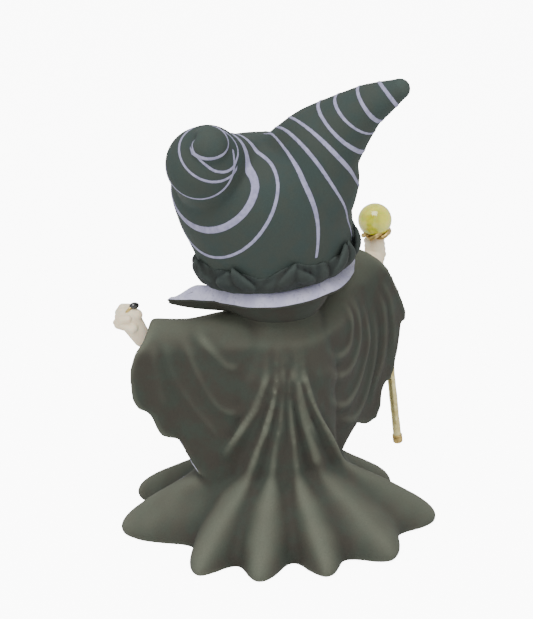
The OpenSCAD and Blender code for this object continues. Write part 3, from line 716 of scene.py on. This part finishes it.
# Each painted stripe is where a plane, bent a little, meets the hat: a point on it, its normal, its bend,
# how far it reaches and its half width
STRIPES = [((-30, 40, 203), (0.72, -0.35, -0.6), 0, 14, 1.0),
           ((-22, 35.5, 199), (0.5, -0.63, -0.6), 0, 16, 0.9),
           ((-17, 31, 194), (0.37, -0.58, -0.73), 0, 20, 0.5),
           ((-13, 27, 189), (0.5, -0.5, -0.7), 0, 26, 0.9),
           ((-9, 24, 181), (0.73, -0.1, -0.68), 0, 34, 0.7),
           ((-8, 19, 171), (0.81, -0.15, -0.57), -0.0025, 48, 0.6),
           ((-3, 22.5, 166.5), (0.81, -0.42, -0.41), -0.011, 32, 0.7),
           ((24, 15, 158), (0.9, 0.22, 0.34), -0.0015, 60, 0.95),
           ((33.5, 15.5, 163.5), (0.86, 0.36, 0.37), 0.004, 34, 1.1),
           ((44.4, 19.3, 170.9), (0.62, 0.73, 0.28), 0, 18, 0.55),
           ((47.1, 19.5, 180.8), (0.07, 0.744, 0.665), 0, 16, 0.6),
           ((41.1, 23.4, 182.7), (-0.1, 0.85, 0.52), 0, 12.8, 0.6),
           ((41, 22.8, 187.2), (0.235, 0.52, 0.82), 0, 10.5, 0.8)]
# The hollow inside the left peak's curl
DIMPLE, DIMPLE_R, DIMPLE_DEPTH = (48.5, 19, 190.5), 2.6, 2.4
STRIPE_HEIGHT = 0.22


def stripe_field(co, no):
    """Signed distance to the nearest painted stripe's edge, negative inside a stripe."""
    best = np.full(len(co), 5.0)
    for point, normal, bend, reach, half in STRIPES:
        d = co - point
        far = np.linalg.norm(d, axis=1)
        off = d @ unit(normal)
        off = off + bend * (far**2 - off**2) + 0.15 * np.sin(co @ [0.21, 0.17, 0.13] + reach)
        slope = np.sqrt(np.maximum(0.06, 1 - (no @ unit(normal)) ** 2))
        width = half * (1 + 0.3 * np.sin(co @ [0.05, -0.07, 0.06] + half * 9))
        best = np.minimum(best, np.maximum(np.abs(off) / slope - width, far - reach))
    return best


def stripe_paint():
    """Paints the stripes over the hat's cloth paint, with a darker rim."""
    edge = HAT.math("ADD", HAT.attr("stripe"), HAT.math("MULTIPLY_ADD", HAT.noise(1.6, 3), 0.3, -0.15))
    on = HAT.span(edge, 0.16, -0.12)
    rim = HAT.math("MULTIPLY", HAT.span(edge, 0.75, 0.1), 0.35)
    base = HAT.shader.inputs["Base Color"].links[0].from_socket
    lilac = HAT.mix(HAT.span(HAT.noise(2.2, 4), 0.35, 0.7), (152, 150, 178), (132, 130, 160))
    HAT.colour(HAT.mix(on, HAT.mix(rim, base, (52, 54, 62)), lilac))


def make_hat():
    voxel = 0.62
    a = whole_turn(180)
    z = np.concatenate([np.linspace(108, 170, 64), np.linspace(171, CROWN_TOP_Z, 28)])
    crown = loft("crown", [crown_pt(a, h) for h in z], HAT.material)
    peaks = [loft("peak", peak_rings(p), HAT.material) for p in (LEFT_PEAK, LEFT_TIP, RIGHT_PEAK)]
    hat = join([crown] + peaks, "hat")
    remesh(hat, voxel, int(26 * (0.62 / voxel) ** 2))
    hem = hat_hem_z(a)
    under = [around(a, r, h) for r, h in ((5, 100), (64, 100), (64, hem), (6, hem))]
    carve(hat, loft("under", under, UNDER))
    rings = [crown_pt(a, h, -2.4) for h in np.linspace(104, 150, 24)]
    carve(hat, loft("inside", rings, UNDER))
    co = coords(hat)
    hollow = np.exp(-(np.linalg.norm(co - DIMPLE, axis=1) / DIMPLE_R) ** 2)
    stripe = stripe_field(co, averaged(normals(hat), edge_pairs(hat), 6))
    lift = STRIPE_HEIGHT * smooth(-stripe / 0.5) - DIMPLE_DEPTH * hollow
    set_coords(hat, co + normals(hat) * lift[:, None])
    attribute(hat, "stripe", stripe)
    # painted shade in the hollows, painted highlight on the raised parts
    mark_relief(hat, 24, 0.9)
    shade(hat)
    stripe_paint()
    finish_piece(hat, "head", "hat_paint", "hat_crown", "left_peak", "right_peak", "hat_liner")


# Pointed folds of the hat's edge: azimuth, lean, height, half width
LEAVES = [(-9, 6, 11, 4.4), (7, -8, 9.5, 4.2), (22, 8, 9, 4.6), (44, -10, 11, 4.6), (66, 12, 11.5, 3.6),
          (88, -12, 10, 4.6), (112, 9, 12.5, 4.0), (132, -8, 13, 3.6), (147, -6, 16, 3.4), (164, 8, 14, 4.0),
          (188, 8, 12, 4.2), (210, -8, 11, 4.4), (232, 8, 9, 4.6), (258, -6, 8, 4.4), (282, 7, 8, 4.4),
          (308, -8, 9, 4.4)]
# Hat edge colours: painted shade for its hollows, its own middle tone, painted highlight for its raised
# folds, and two tones it drifts between
HAT_EDGE = cloth_paint("hat_edge_paint", (17, 19, 19), (37, 42, 41), (58, 66, 63), (40, 41, 37),
                       (34, 43, 42)).material
# Each pointed fold: share of its height, how far out, share of its width, half depth
LEAF = [(-0.1, 0.6, 0.3, 1.0), (0, 1.3, 0.7, 1.6), (0.25, 2.4, 1, 1.9), (0.5, 2.7, 0.9, 1.7),
        (0.75, 2.2, 0.55, 1.3), (0.92, 1.7, 0.25, 0.9), (1, 1.4, 0.08, 0.5)]


def make_band():
    """The gathered band: its outer face runs up from below the hat's edge, and its back lies in the hat."""
    a = whole_turn(420)
    turn = np.radians(a)
    tall = 8.8 + 1.3 * np.sin(5 * turn + 0.6) + 1.0 * np.sin(9 * turn + 2)
    # the band is fuller on the figure's left
    full = np.exp(-((((a + 212) % 360 - 180) / 32) ** 2))
    foot = hat_hem_z(a) - 2.0 - 0.3 * full
    u = np.linspace(0, 1, 22)
    face = []
    for k in u:
        lean = turn + np.radians(9 * np.sin(3 * turn + 1)) * k
        fold = np.abs(np.sin(7 * lean + 0.9 * np.sin(3 * lean))) ** 0.8 + 0.5 * np.abs(np.sin(13 * lean + 1))
        puff = 0.9 * full - 0.3 + (1.6 + 1.6 * fold) * sind(22 + 150 * k) ** 0.7
        face.append(crown_pt(a, foot + (tall + 1.5 * fold) * k, puff * (1 - 0.6 * k**6)))
    back = [crown_pt(a, foot + tall * k, -1.4) for k in u[::-1]]
    return closed_band("ruffle", np.stack(face + back, 1), HAT_EDGE)


def make_ruffle():
    """The hat's edge: a tall band gathered into uneven leaning folds, with a few pointed tops."""
    rng = np.random.default_rng(5)
    parts = [make_band()]
    t = whole_turn(20)[:, None]
    for az, lean, height, wide in LEAVES:
        rings = []
        for share, out, part, deep in spline(LEAF, 3):
            b = az + lean * share
            p = crown_pt(b, hat_hem_z(b) + height * share, out)
            across = np.array([-sind(b), cosd(b), rng.uniform(-0.05, 0.05)])
            ahead = np.array([cosd(b), sind(b), 0])
            rings.append(p + across * wide * part * cosd(t) + ahead * deep * sind(t))
        parts.append(loft("leaf", rings, HAT_EDGE))
    ruffle = join(parts, "ruffle")
    remesh(ruffle, 0.5, 5)
    # painted shade in the hollows, painted highlight on the raised folds
    mark_relief(ruffle, 24, 0.42)
    shade(ruffle)
    finish_piece(ruffle, "head", "hat_paint", "hat_hem")


# ---- head and hair ----
def skin_paint(name, base, second_tone):
    p = Paint(name, 0.52, Specular_IOR_Level=0.4, Subsurface_Weight=0.12, Subsurface_Scale=0.002)
    # the skin's own tone drifts at random between two tones
    tone = p.mix(p.span(p.noise(6, 3), 0.3, 0.75), base, second_tone)
    tone = p.mix(p.math("MULTIPLY", p.attr("blush"), 0.55), tone, (222, 160, 148))
    tone = p.mix(p.attr("lip"), tone, (158, 84, 92))
    tone = p.mix(p.attr("brow"), tone, (62, 50, 46))
    p.colour(tone)
    p.bump(p.noise(0.6, 2), 0.03, 0.4)
    return p.material


def bell(x, width):
    return np.exp(-((x / width) ** 2))


def face_shape(u, e):
    """How far the face stands out at angle u to its left and e up."""
    side = np.abs(u)
    out = 3.3 * bell(u, 7) * bell(e + 9, 7) + 1.5 * bell(u, 5) * bell(e, 9)
    out += 0.9 * bell(side - 6.5, 3) * bell(e + 13.5, 3.4)
    out -= 1.5 * bell(side - 24, 10) * bell(e - 4, 7.5)
    out += 0.8 * bell(side - 23, 13) * bell(e - 15, 4.5)
    out += 1.1 * bell(side - 33, 13) * bell(e + 15, 11)
    out += 0.95 * bell(u, 10) * bell(e + 25, 2.6) + 1.15 * bell(u, 8.5) * bell(e + 30.5, 2.8)
    out -= 0.8 * bell(u, 12) * bell(e + 27.7, 1.1)
    out += 1.7 * bell(u, 13) * bell(e + 46, 9)
    lid = np.abs(side - 24) / 9
    out += 0.75 * bell(e - 9.5 + 3.5 * lid**2, 1.5) * bell(lid, 1)
    out += 0.4 * bell(e - 0.5 - 2.5 * lid**2, 1.4) * bell(lid, 1)
    return out


def make_head():
    skin = skin_paint("face_paint", (236, 226, 202), (224, 208, 180))
    u = np.concatenate([np.linspace(-180, -60, 60, endpoint=False), np.linspace(-60, 60, 300, endpoint=False),
                        np.linspace(60, 180, 60, endpoint=False)])
    e = np.concatenate([np.linspace(-72, -58, 10, endpoint=False), np.linspace(-58, 24, 240, endpoint=False),
                        np.linspace(24, 47, 20)])
    uu, ee = np.meshgrid(u, e)
    lift = np.where(np.abs(uu) < 90, face_shape(uu, ee), 0)
    c = cosd(ee) ** 0.8
    a = 270 + uu
    rings = HEAD_C + np.stack([(24 + lift) * c * cosd(a), (22.5 + lift) * c * sind(a),
                               (26 + lift) * sind(ee)], -1)
    head = loft("head", rings, skin)
    # the painted marks, at every vertex and at the middles of the two end fans
    flat_u, flat_e = np.append(uu.ravel(), [0, 0]), np.append(ee.ravel(), [-80, 80])
    side = np.abs(flat_u)
    lips = bell(flat_u, 10) * np.maximum(bell(flat_e + 25.2, 2), bell(flat_e + 30, 2.4))
    attribute(head, "lip", smooth((lips - 0.3) / 0.2))
    attribute(head, "blush", bell(side - 36, 10) * bell(flat_e + 14, 8))
    arch = 17.5 - 0.012 * (side - 20) ** 2
    brow = bell(flat_e - arch, 1.5) * bell(side - 24, 11)
    lash = bell(flat_e - 8.2 + 0.05 * (side - 24) ** 2, 0.9) * bell(side - 24, 8)
    attribute(head, "brow", smooth((brow - 0.35) / 0.2) + smooth((lash - 0.4) / 0.2))
    shade(head, 60)
    finish_piece(head, "head", "skin_paint", "head")


def make_eyes():
    """Each eye is painted by how far a point lies from the middle of the gaze."""
    eye = Paint("eye_paint", 0.12, Coat_Weight=0.6)
    far = eye.attr("iris")
    iris = eye.mix(eye.span(far, 0.7, 0.85), (14, 14, 14), (74, 96, 70))
    eye.colour(eye.mix(eye.span(far, 1.55, 1.75), iris, (232, 230, 222)))
    for sign, node in ((1, "left_eye"), (-1, "right_eye")):
        centre = HEAD_C + [sign * 8.9, -19.2, 2.3]
        ball = loft(node + "_ball", ellipsoid_rings(centre, [EYE_R] * 3, 40, 48), eye.material)
        gaze = centre + np.array([0.25 * sign, -EYE_R, -0.2])
        attribute(ball, "iris", np.linalg.norm(coords(ball) - gaze, axis=1))
        shade(ball, 60)
        finish_piece(ball, "head", "eye_gloss", node)


def make_hair():
    """Grooved locks that fall from under the hat at both sides of the face."""
    p = Paint("hair_paint", 0.62, Specular_IOR_Level=0.35)
    strand = p.span(p.noise(0.9, 3), 0.35, 0.7)
    light = p.mix(strand, (92, 76, 64), (116, 98, 82))
    # painted shade: dark in the grooves between the strands, fading to the hair's own colour on the raised
    # parts
    p.colour(p.mix(p.span(p.attr("shade_relief"), 0.25, 0.85), (46, 38, 34), light))
    p.bump(strand, 0.05, 0.6)
    rng = np.random.default_rng(8)
    locks = []
    for sign in (1, -1):
        for i in range(9):
            az = 270 + sign * (36 + 11 * i)
            low = 116 + rng.uniform(-1, 3)
            z = np.linspace(151, low, 26)
            k = (151 - z) / (151 - low)
            turn = az + sign * 2.5 * np.sin(k * 6 + i * 1.7) + sign * 2 * k
            r = np.sqrt(np.maximum(0, 1 - ((z - HEAD_C[2]) / 27) ** 2)) ** 0.8
            path = np.stack([HEAD_C[0] + (24.6 * r + 0.5) * cosd(turn),
                             HEAD_C[1] + (23.1 * r + 0.5) * sind(turn), z], 1)
            radii = 2.5 * np.sin(np.pi * (0.18 + 0.78 * k)) + 0.3
            locks.append(loft("lock", tube_rings(path, radii, 14, 0.8), p.material))
    hair = join(locks, "hair")
    remesh(hair, 0.42, 3)
    # painted shade in the grooves between the strands
    mark_relief(hair, 12, 0.25)
    shade(hair)
    finish_piece(hair, "head", "skin_paint")


# ---- metals and the stone ----
def metal(name, light, dark, roughness):
    """Painted metal whose tone drifts at random between light and dark, with small scratches."""
    p = Paint(name, roughness, Metallic=0.75)
    p.colour(p.mix(p.span(p.noise(2.4, 5, 0.6), 0.35, 0.7), light, dark))
    p.rough(p.noise(1.2, 4), roughness - 0.08, roughness + 0.14)
    p.bump(p.noise(0.5, 3), 0.03, 0.5)
    return p.material


GOLD = metal("gold_trim", (206, 180, 112), (150, 122, 66), 0.34)
BRASS = metal("brass_rod", (218, 208, 150), (190, 172, 112), 0.28)


def stone_paint():
    p = Paint("black_stone", 0.08, Coat_Weight=0.8)
    p.colour(p.mix(p.span(p.noise(1.5, 2), 0.4, 0.7), (14, 14, 15), (30, 32, 30)))
    return p.material


# ---- hands ----
L_PALM, R_PALM = np.array([58, -27, 100.0]), np.array([-71, -30, 112.0])
L_WRIST, R_WRIST = np.array([52, -24.5, 91.5]), np.array([-65.8, -24.2, 109.0])
ORB = np.array([-71.5, -29, 126.3])
STAFF_FOOT = np.array([-87.5, -27, 9.0])
STAFF_DIR = unit(ORB - STAFF_FOOT)
ORB_R, STAFF_R = 8, 2
HAND_SKIN = skin_paint("hand_paint", (240, 227, 198), (230, 210, 178))


def capsules(rows, thick=1.0):
    """A rounded solid for each (from, to, radius, radius)."""
    return [loft("bone", capsule_rings(p, q, rp * thick, rq * thick)) for p, q, rp, rq in rows]


def fist(palm, out, axis, grip, thick=1.0):
    """Four fingers curled round an axis through the palm, each of three bones."""
    out, axis = unit(out), unit(axis)
    side = np.cross(axis, out)
    parts = []
    for k in range(4):
        base = palm + axis * (3.6 - 2.6 * k)
        knuckle = base + out * (grip + 2.2) - side * 1.5
        middle = base + out * (grip + 1.6) + side * (grip + 0.2)
        tip = base + out * (grip - 1) + side * (grip + 1.8)
        parts += capsules([(base - out * 2, knuckle, 2.5, 2.0), (knuckle, middle, 2.0, 1.8),
                           (middle, tip, 1.8, 1.6)], thick)
    return parts


def blend_hand(parts, name, body, node):
    """Blends the parts of a hand into one skin."""
    hand = join(parts, name)
    hand.data.materials.clear()
    hand.data.materials.append(HAND_SKIN)
    remesh(hand, 0.28, 5)
    for at in ("blush", "lip", "brow"):
        attribute(hand, at, np.zeros(len(hand.data.vertices)))
    shade(hand)
    finish_piece(hand, body, "skin_paint", node)


def make_hands():
    """Two fists, each of fingers and of wrist, palm and thumb."""
    parts = fist(L_PALM + [0.6, -0.6, 0.6], [0.75, -0.55, 0.35], [-0.35, -0.65, 0.3], 2.0)
    parts += capsules([(L_WRIST - [4.4, -2.6, 1.6], L_WRIST + [1.3, -0.8, 0], 3.3, 4.1),
                       (L_WRIST + [1.3, -0.8, 0], L_PALM + [0.4, -0.3, 1], 4.1, 5.2),
                       (L_PALM + [-2, 2, 3], L_PALM + [0.6, 0.4, 4.6], 2.8, 2.4),
                       (L_PALM + [2.2, -0.4, -1.6], L_PALM + [6, -2.2, -0.4], 2.4, 1.4)])
    blend_hand(parts, "left_fist", "left_arm", "left_hand")
    grip = R_PALM + [-1.2, 0.6, 0]
    parts = fist(grip, [-0.8, -0.6, 0], STAFF_DIR, 2.0, 1.15)
    parts += capsules([(R_WRIST + [1, 0.8, -3], grip + [0.4, 0.6, -3], 4.4, 4.9),
                       (grip + [0.6, 0.8, -4], grip + [0.9, 0.8, 3.2], 5.0, 4.6),
                       (R_PALM + [1, 3, 1], R_PALM + [-2, 2.6, 4.6], 2.8, 2.4)])
    blend_hand(parts, "right_fist", "right_arm", "right_hand")


def make_ring():
    ring = L_PALM + [0.2, -0.2, 5.0]
    t = np.radians(whole_turn(60))
    flat = np.stack([2.9 * np.cos(t), 2.9 * np.sin(t), 0 * t], 1)
    from_flat = np.array(Vector((0, 0, 1)).rotation_difference(Vector((0.5, -0.6, 0.62))).to_matrix())
    band = closed_tube("ring_band", ring + flat @ from_flat.T, 0.62, 14, GOLD)
    shade(band, 60)
    finish_piece(band, "left_arm", "gold_trim", "finger_ring")
    stone = L_PALM + [-1.2, 1.8, 7.4]
    gem = loft("ring_gem", ellipsoid_rings(stone, (2.3, 1.7, 1.5), 24, 32), stone_paint())
    shade(gem, 60)
    finish_piece(gem, "left_arm", "ring_stone", "ring_stone")


# ---- staff ----
def pearl_paint():
    p = Paint("orb_gloss", 0.16, Coat_Weight=0.9, Coat_Roughness=0.05, Specular_IOR_Level=0.6,
              Subsurface_Weight=0.25, Subsurface_Scale=0.004)
    p.colour(p.mix(p.span(p.noise(6, 4, 0.6), 0.32, 0.7), (224, 220, 74), (190, 192, 38)))
    p.bump(p.noise(2.5, 2), 0.04, 0.3)
    return p.material


def rope(centre, axis, radius, thick, turns, name):
    """A ring of two gold strands twisted round each other."""
    t = np.radians(whole_turn(240))
    frame_x = unit(np.cross(axis, [0.2, 0.9, 0.1]))
    frame_y = np.cross(axis, frame_x)
    strands = []
    for start in (0, np.pi):
        out = radius + thick * np.cos(turns * t + start)
        path = (centre + frame_x * (out * np.cos(t))[:, None] + frame_y * (out * np.sin(t))[:, None]
                + axis * (thick * np.sin(turns * t + start))[:, None])
        strands.append(closed_tube("strand", path, thick * 1.05, 12, GOLD))
    return join(strands, name)


def make_orb():
    orb = loft("pearl", ellipsoid_rings(ORB, [ORB_R] * 3, 60, 80), pearl_paint())
    shade(orb, 60)
    finish_piece(orb, "right_arm", "orb_gloss", "orb")


def make_claw():
    """The twisted ring under the orb, and the cup that it lies on."""
    claw = rope(ORB - STAFF_DIR * 6.2, STAFF_DIR, 5.4, 1.05, 3, "claw_rope")
    cup_at = ORB - STAFF_DIR * (ORB_R + 1)
    path = np.array([cup_at + STAFF_DIR * h for h in (-2.2, -1.8, -1, 0, 1, 1.8)])
    cup = loft("cup", tube_rings(path, [2.1, 3.2, 3.6, 3.3, 3.9, 4.6], 40), GOLD)
    claw = join([claw, cup], "claw_rope")
    shade(claw, 50)
    finish_piece(claw, "right_arm", "gold_trim", "orb_claw")


def make_staff():
    t = np.linspace(0, 1, 90)
    top = ORB - STAFF_DIR * ORB_R
    path = STAFF_FOOT + (top - STAFF_FOOT) * t[:, None]
    radii = STAFF_R + 0.05 * np.sin(t * 37) + 0.04 * np.sin(t * 91)
    rod = loft("rod", tube_rings(path, radii, 28), BRASS)
    shade(rod, 60)
    finish_piece(rod, "right_arm", "brass_parts", "staff")
    foot = STAFF_FOOT + STAFF_DIR * np.array([-1.5, -1.4, -1, 0, 1.8, 2.2, 2.5, 2.8, 3])[:, None]
    tip = loft("ferrule_cap", tube_rings(foot, [1.4, 2.0, 2.4, 2.5, 2.5, 2.3, 2.5, 2.5, 2.2], 36),
               GOLD)
    shade(tip, 50)
    finish_piece(tip, "right_arm", "gold_trim", "staff_ferrule")


# ---- paints of the CAD nodes in view ----
def moulded(name, base, other, roughness, grain=0.7):
    """Moulded plastic with a faint drift of colour and a fine grain."""
    p = Paint(name, roughness)
    p.colour(p.mix(p.span(p.noise(12, 3), 0.3, 0.7), base, other))
    p.rough(p.noise(3, 3), roughness - 0.06, roughness + 0.1)
    p.bump(p.noise(grain, 2), 0.03, 0.5)
    return p.material


def paint_cad():
    """Gives each CAD node that stays in view the paint of its slot."""
    by_slot = {
        "base_plastic": moulded("base_plastic", (44, 44, 42), (54, 54, 50), 0.5),
        "screw_steel": metal("screw_steel", (168, 170, 172), (120, 122, 126), 0.3),
        "cell_wrap": moulded("cell_wrap", (58, 92, 128), (50, 80, 116), 0.3, 3),
        "circuit_board": moulded("circuit_board", (34, 92, 58), (28, 78, 50), 0.42),
        "black_plastic": moulded("black_plastic", (24, 24, 25), (34, 34, 35), 0.4),
        "gear_plastic": moulded("gear_plastic", (226, 224, 214), (212, 208, 196), 0.42),
        "brass_parts": BRASS,
        "gold_trim": GOLD,
        "skin_paint": HAND_SKIN,
        "robe_paint": ROBE,
        "hat_paint": HAT.material,
        "collar_paint": LAVENDER,
    }
    slots = {p["node"]: p["material_slot"] for p in frame["record"]["subparts"]}
    for node, obj in frame["nodes"].items():
        paint = by_slot.get(slots.get(node))
        if paint is None or obj.hide_render:
            continue
        for k in range(len(obj.data.materials)):
            obj.data.materials[k] = paint


# ---- stage ----
WORLD_STRENGTH, KEY_POWER, FILL_POWER = 0.9, 10, 1
LIGHT_TARGET = Vector((0, 0, 0.1))
# Plain light that a direct look sees on the world and the floor
WORLD_GLOW, FLOOR_GLOW = 9.5, 9.0
# The camera's azimuth and elevation, its distance in metres, and how far its axis passes from the origin
CAMERA_AZ, CAMERA_EL, CAMERA_AWAY = 150, 20, 0.7
AIM_UP, AIM_LEFT = 0.097, 0.004
LENS, SENSOR = 87.5, 36
FLOOR_SIZE = 3000


def seen_brighter(tree, shader, strength):
    """Adds plain light to what a direct look sees, and none to what lights the object."""
    glow = tree.nodes.new("ShaderNodeEmission")
    glow.inputs["Strength"].default_value = strength
    look = tree.nodes.new("ShaderNodeLightPath")
    add = tree.nodes.new("ShaderNodeAddShader")
    mix = tree.nodes.new("ShaderNodeMixShader")
    for start, end in ((shader, add.inputs[0]), (glow.outputs[0], add.inputs[1]), (shader, mix.inputs[1]),
                       (look.outputs["Is Camera Ray"], mix.inputs[0]), (add.outputs[0], mix.inputs[2])):
        tree.links.new(start, end)
    return mix.outputs[0]


def make_stage():
    p = Paint("floor_white", 0.9, Specular_IOR_Level=0.1)
    p.colour(p.mix(p.span(p.noise(60, 2), 0.3, 0.7), (252, 252, 251), (250, 250, 249)))
    out = p.tree.nodes["Material Output"].inputs["Surface"]
    p.tree.links.new(seen_brighter(p.tree, p.shader.outputs[0], FLOOR_GLOW), out)
    corners = [(x * FLOOR_SIZE, y * FLOOR_SIZE, 0) for x, y in ((-1, -1), (1, -1), (1, 1), (-1, 1))]
    floor = new_object("floor", corners, [(0, 1, 2, 3)], p.material)


def aim(name, data, place, way):
    """Adds a light or camera at a place in metres, looking the given way."""
    obj = added(name, data)
    obj.location = place
    obj.rotation_mode = "QUATERNION"
    obj.rotation_quaternion = way.to_track_quat("-Z", "Y")
    return obj


def area_light(name, place, size, power):
    data = bpy.data.lights.new(name, "AREA")
    data.size = size
    data.energy = power
    aim(name, data, place, LIGHT_TARGET - Vector(place))


def make_lights():
    world = bpy.data.worlds.new("studio")
    bpy.context.scene.world = world
    world.use_nodes = True
    back = world.node_tree.nodes["Background"]
    back.inputs[0].default_value = (0.99, 1.0, 0.985, 1)
    back.inputs[1].default_value = WORLD_STRENGTH
    out = world.node_tree.nodes["World Output"].inputs["Surface"]
    world.node_tree.links.new(seen_brighter(world.node_tree, back.outputs[0], WORLD_GLOW), out)
    area_light("key", (0.25, 0.35, 1.0), 0.6, KEY_POWER)
    area_light("fill", (0.7, 0.5, 0.35), 0.7, FILL_POWER)


def make_camera():
    a, e = math.radians(CAMERA_AZ), math.radians(CAMERA_EL)
    back = Vector((math.sin(a) * math.cos(e), -math.cos(a) * math.cos(e), math.sin(e)))
    right = Vector((math.cos(a), math.sin(a), 0))
    up = back.cross(right)
    data = bpy.data.cameras.new("camera")
    data.lens = LENS
    data.sensor_width = SENSOR
    place = up * AIM_UP - right * AIM_LEFT + back * CAMERA_AWAY
    bpy.context.scene.camera = aim("camera", data, place, -back)


make_camera()
make_lights()
make_stage()
make_robe()
make_collar()
make_hat()
make_ruffle()
make_head()
make_eyes()
make_hair()
make_hands()
make_ring()
make_orb()
make_claw()
make_staff()
paint_cad()
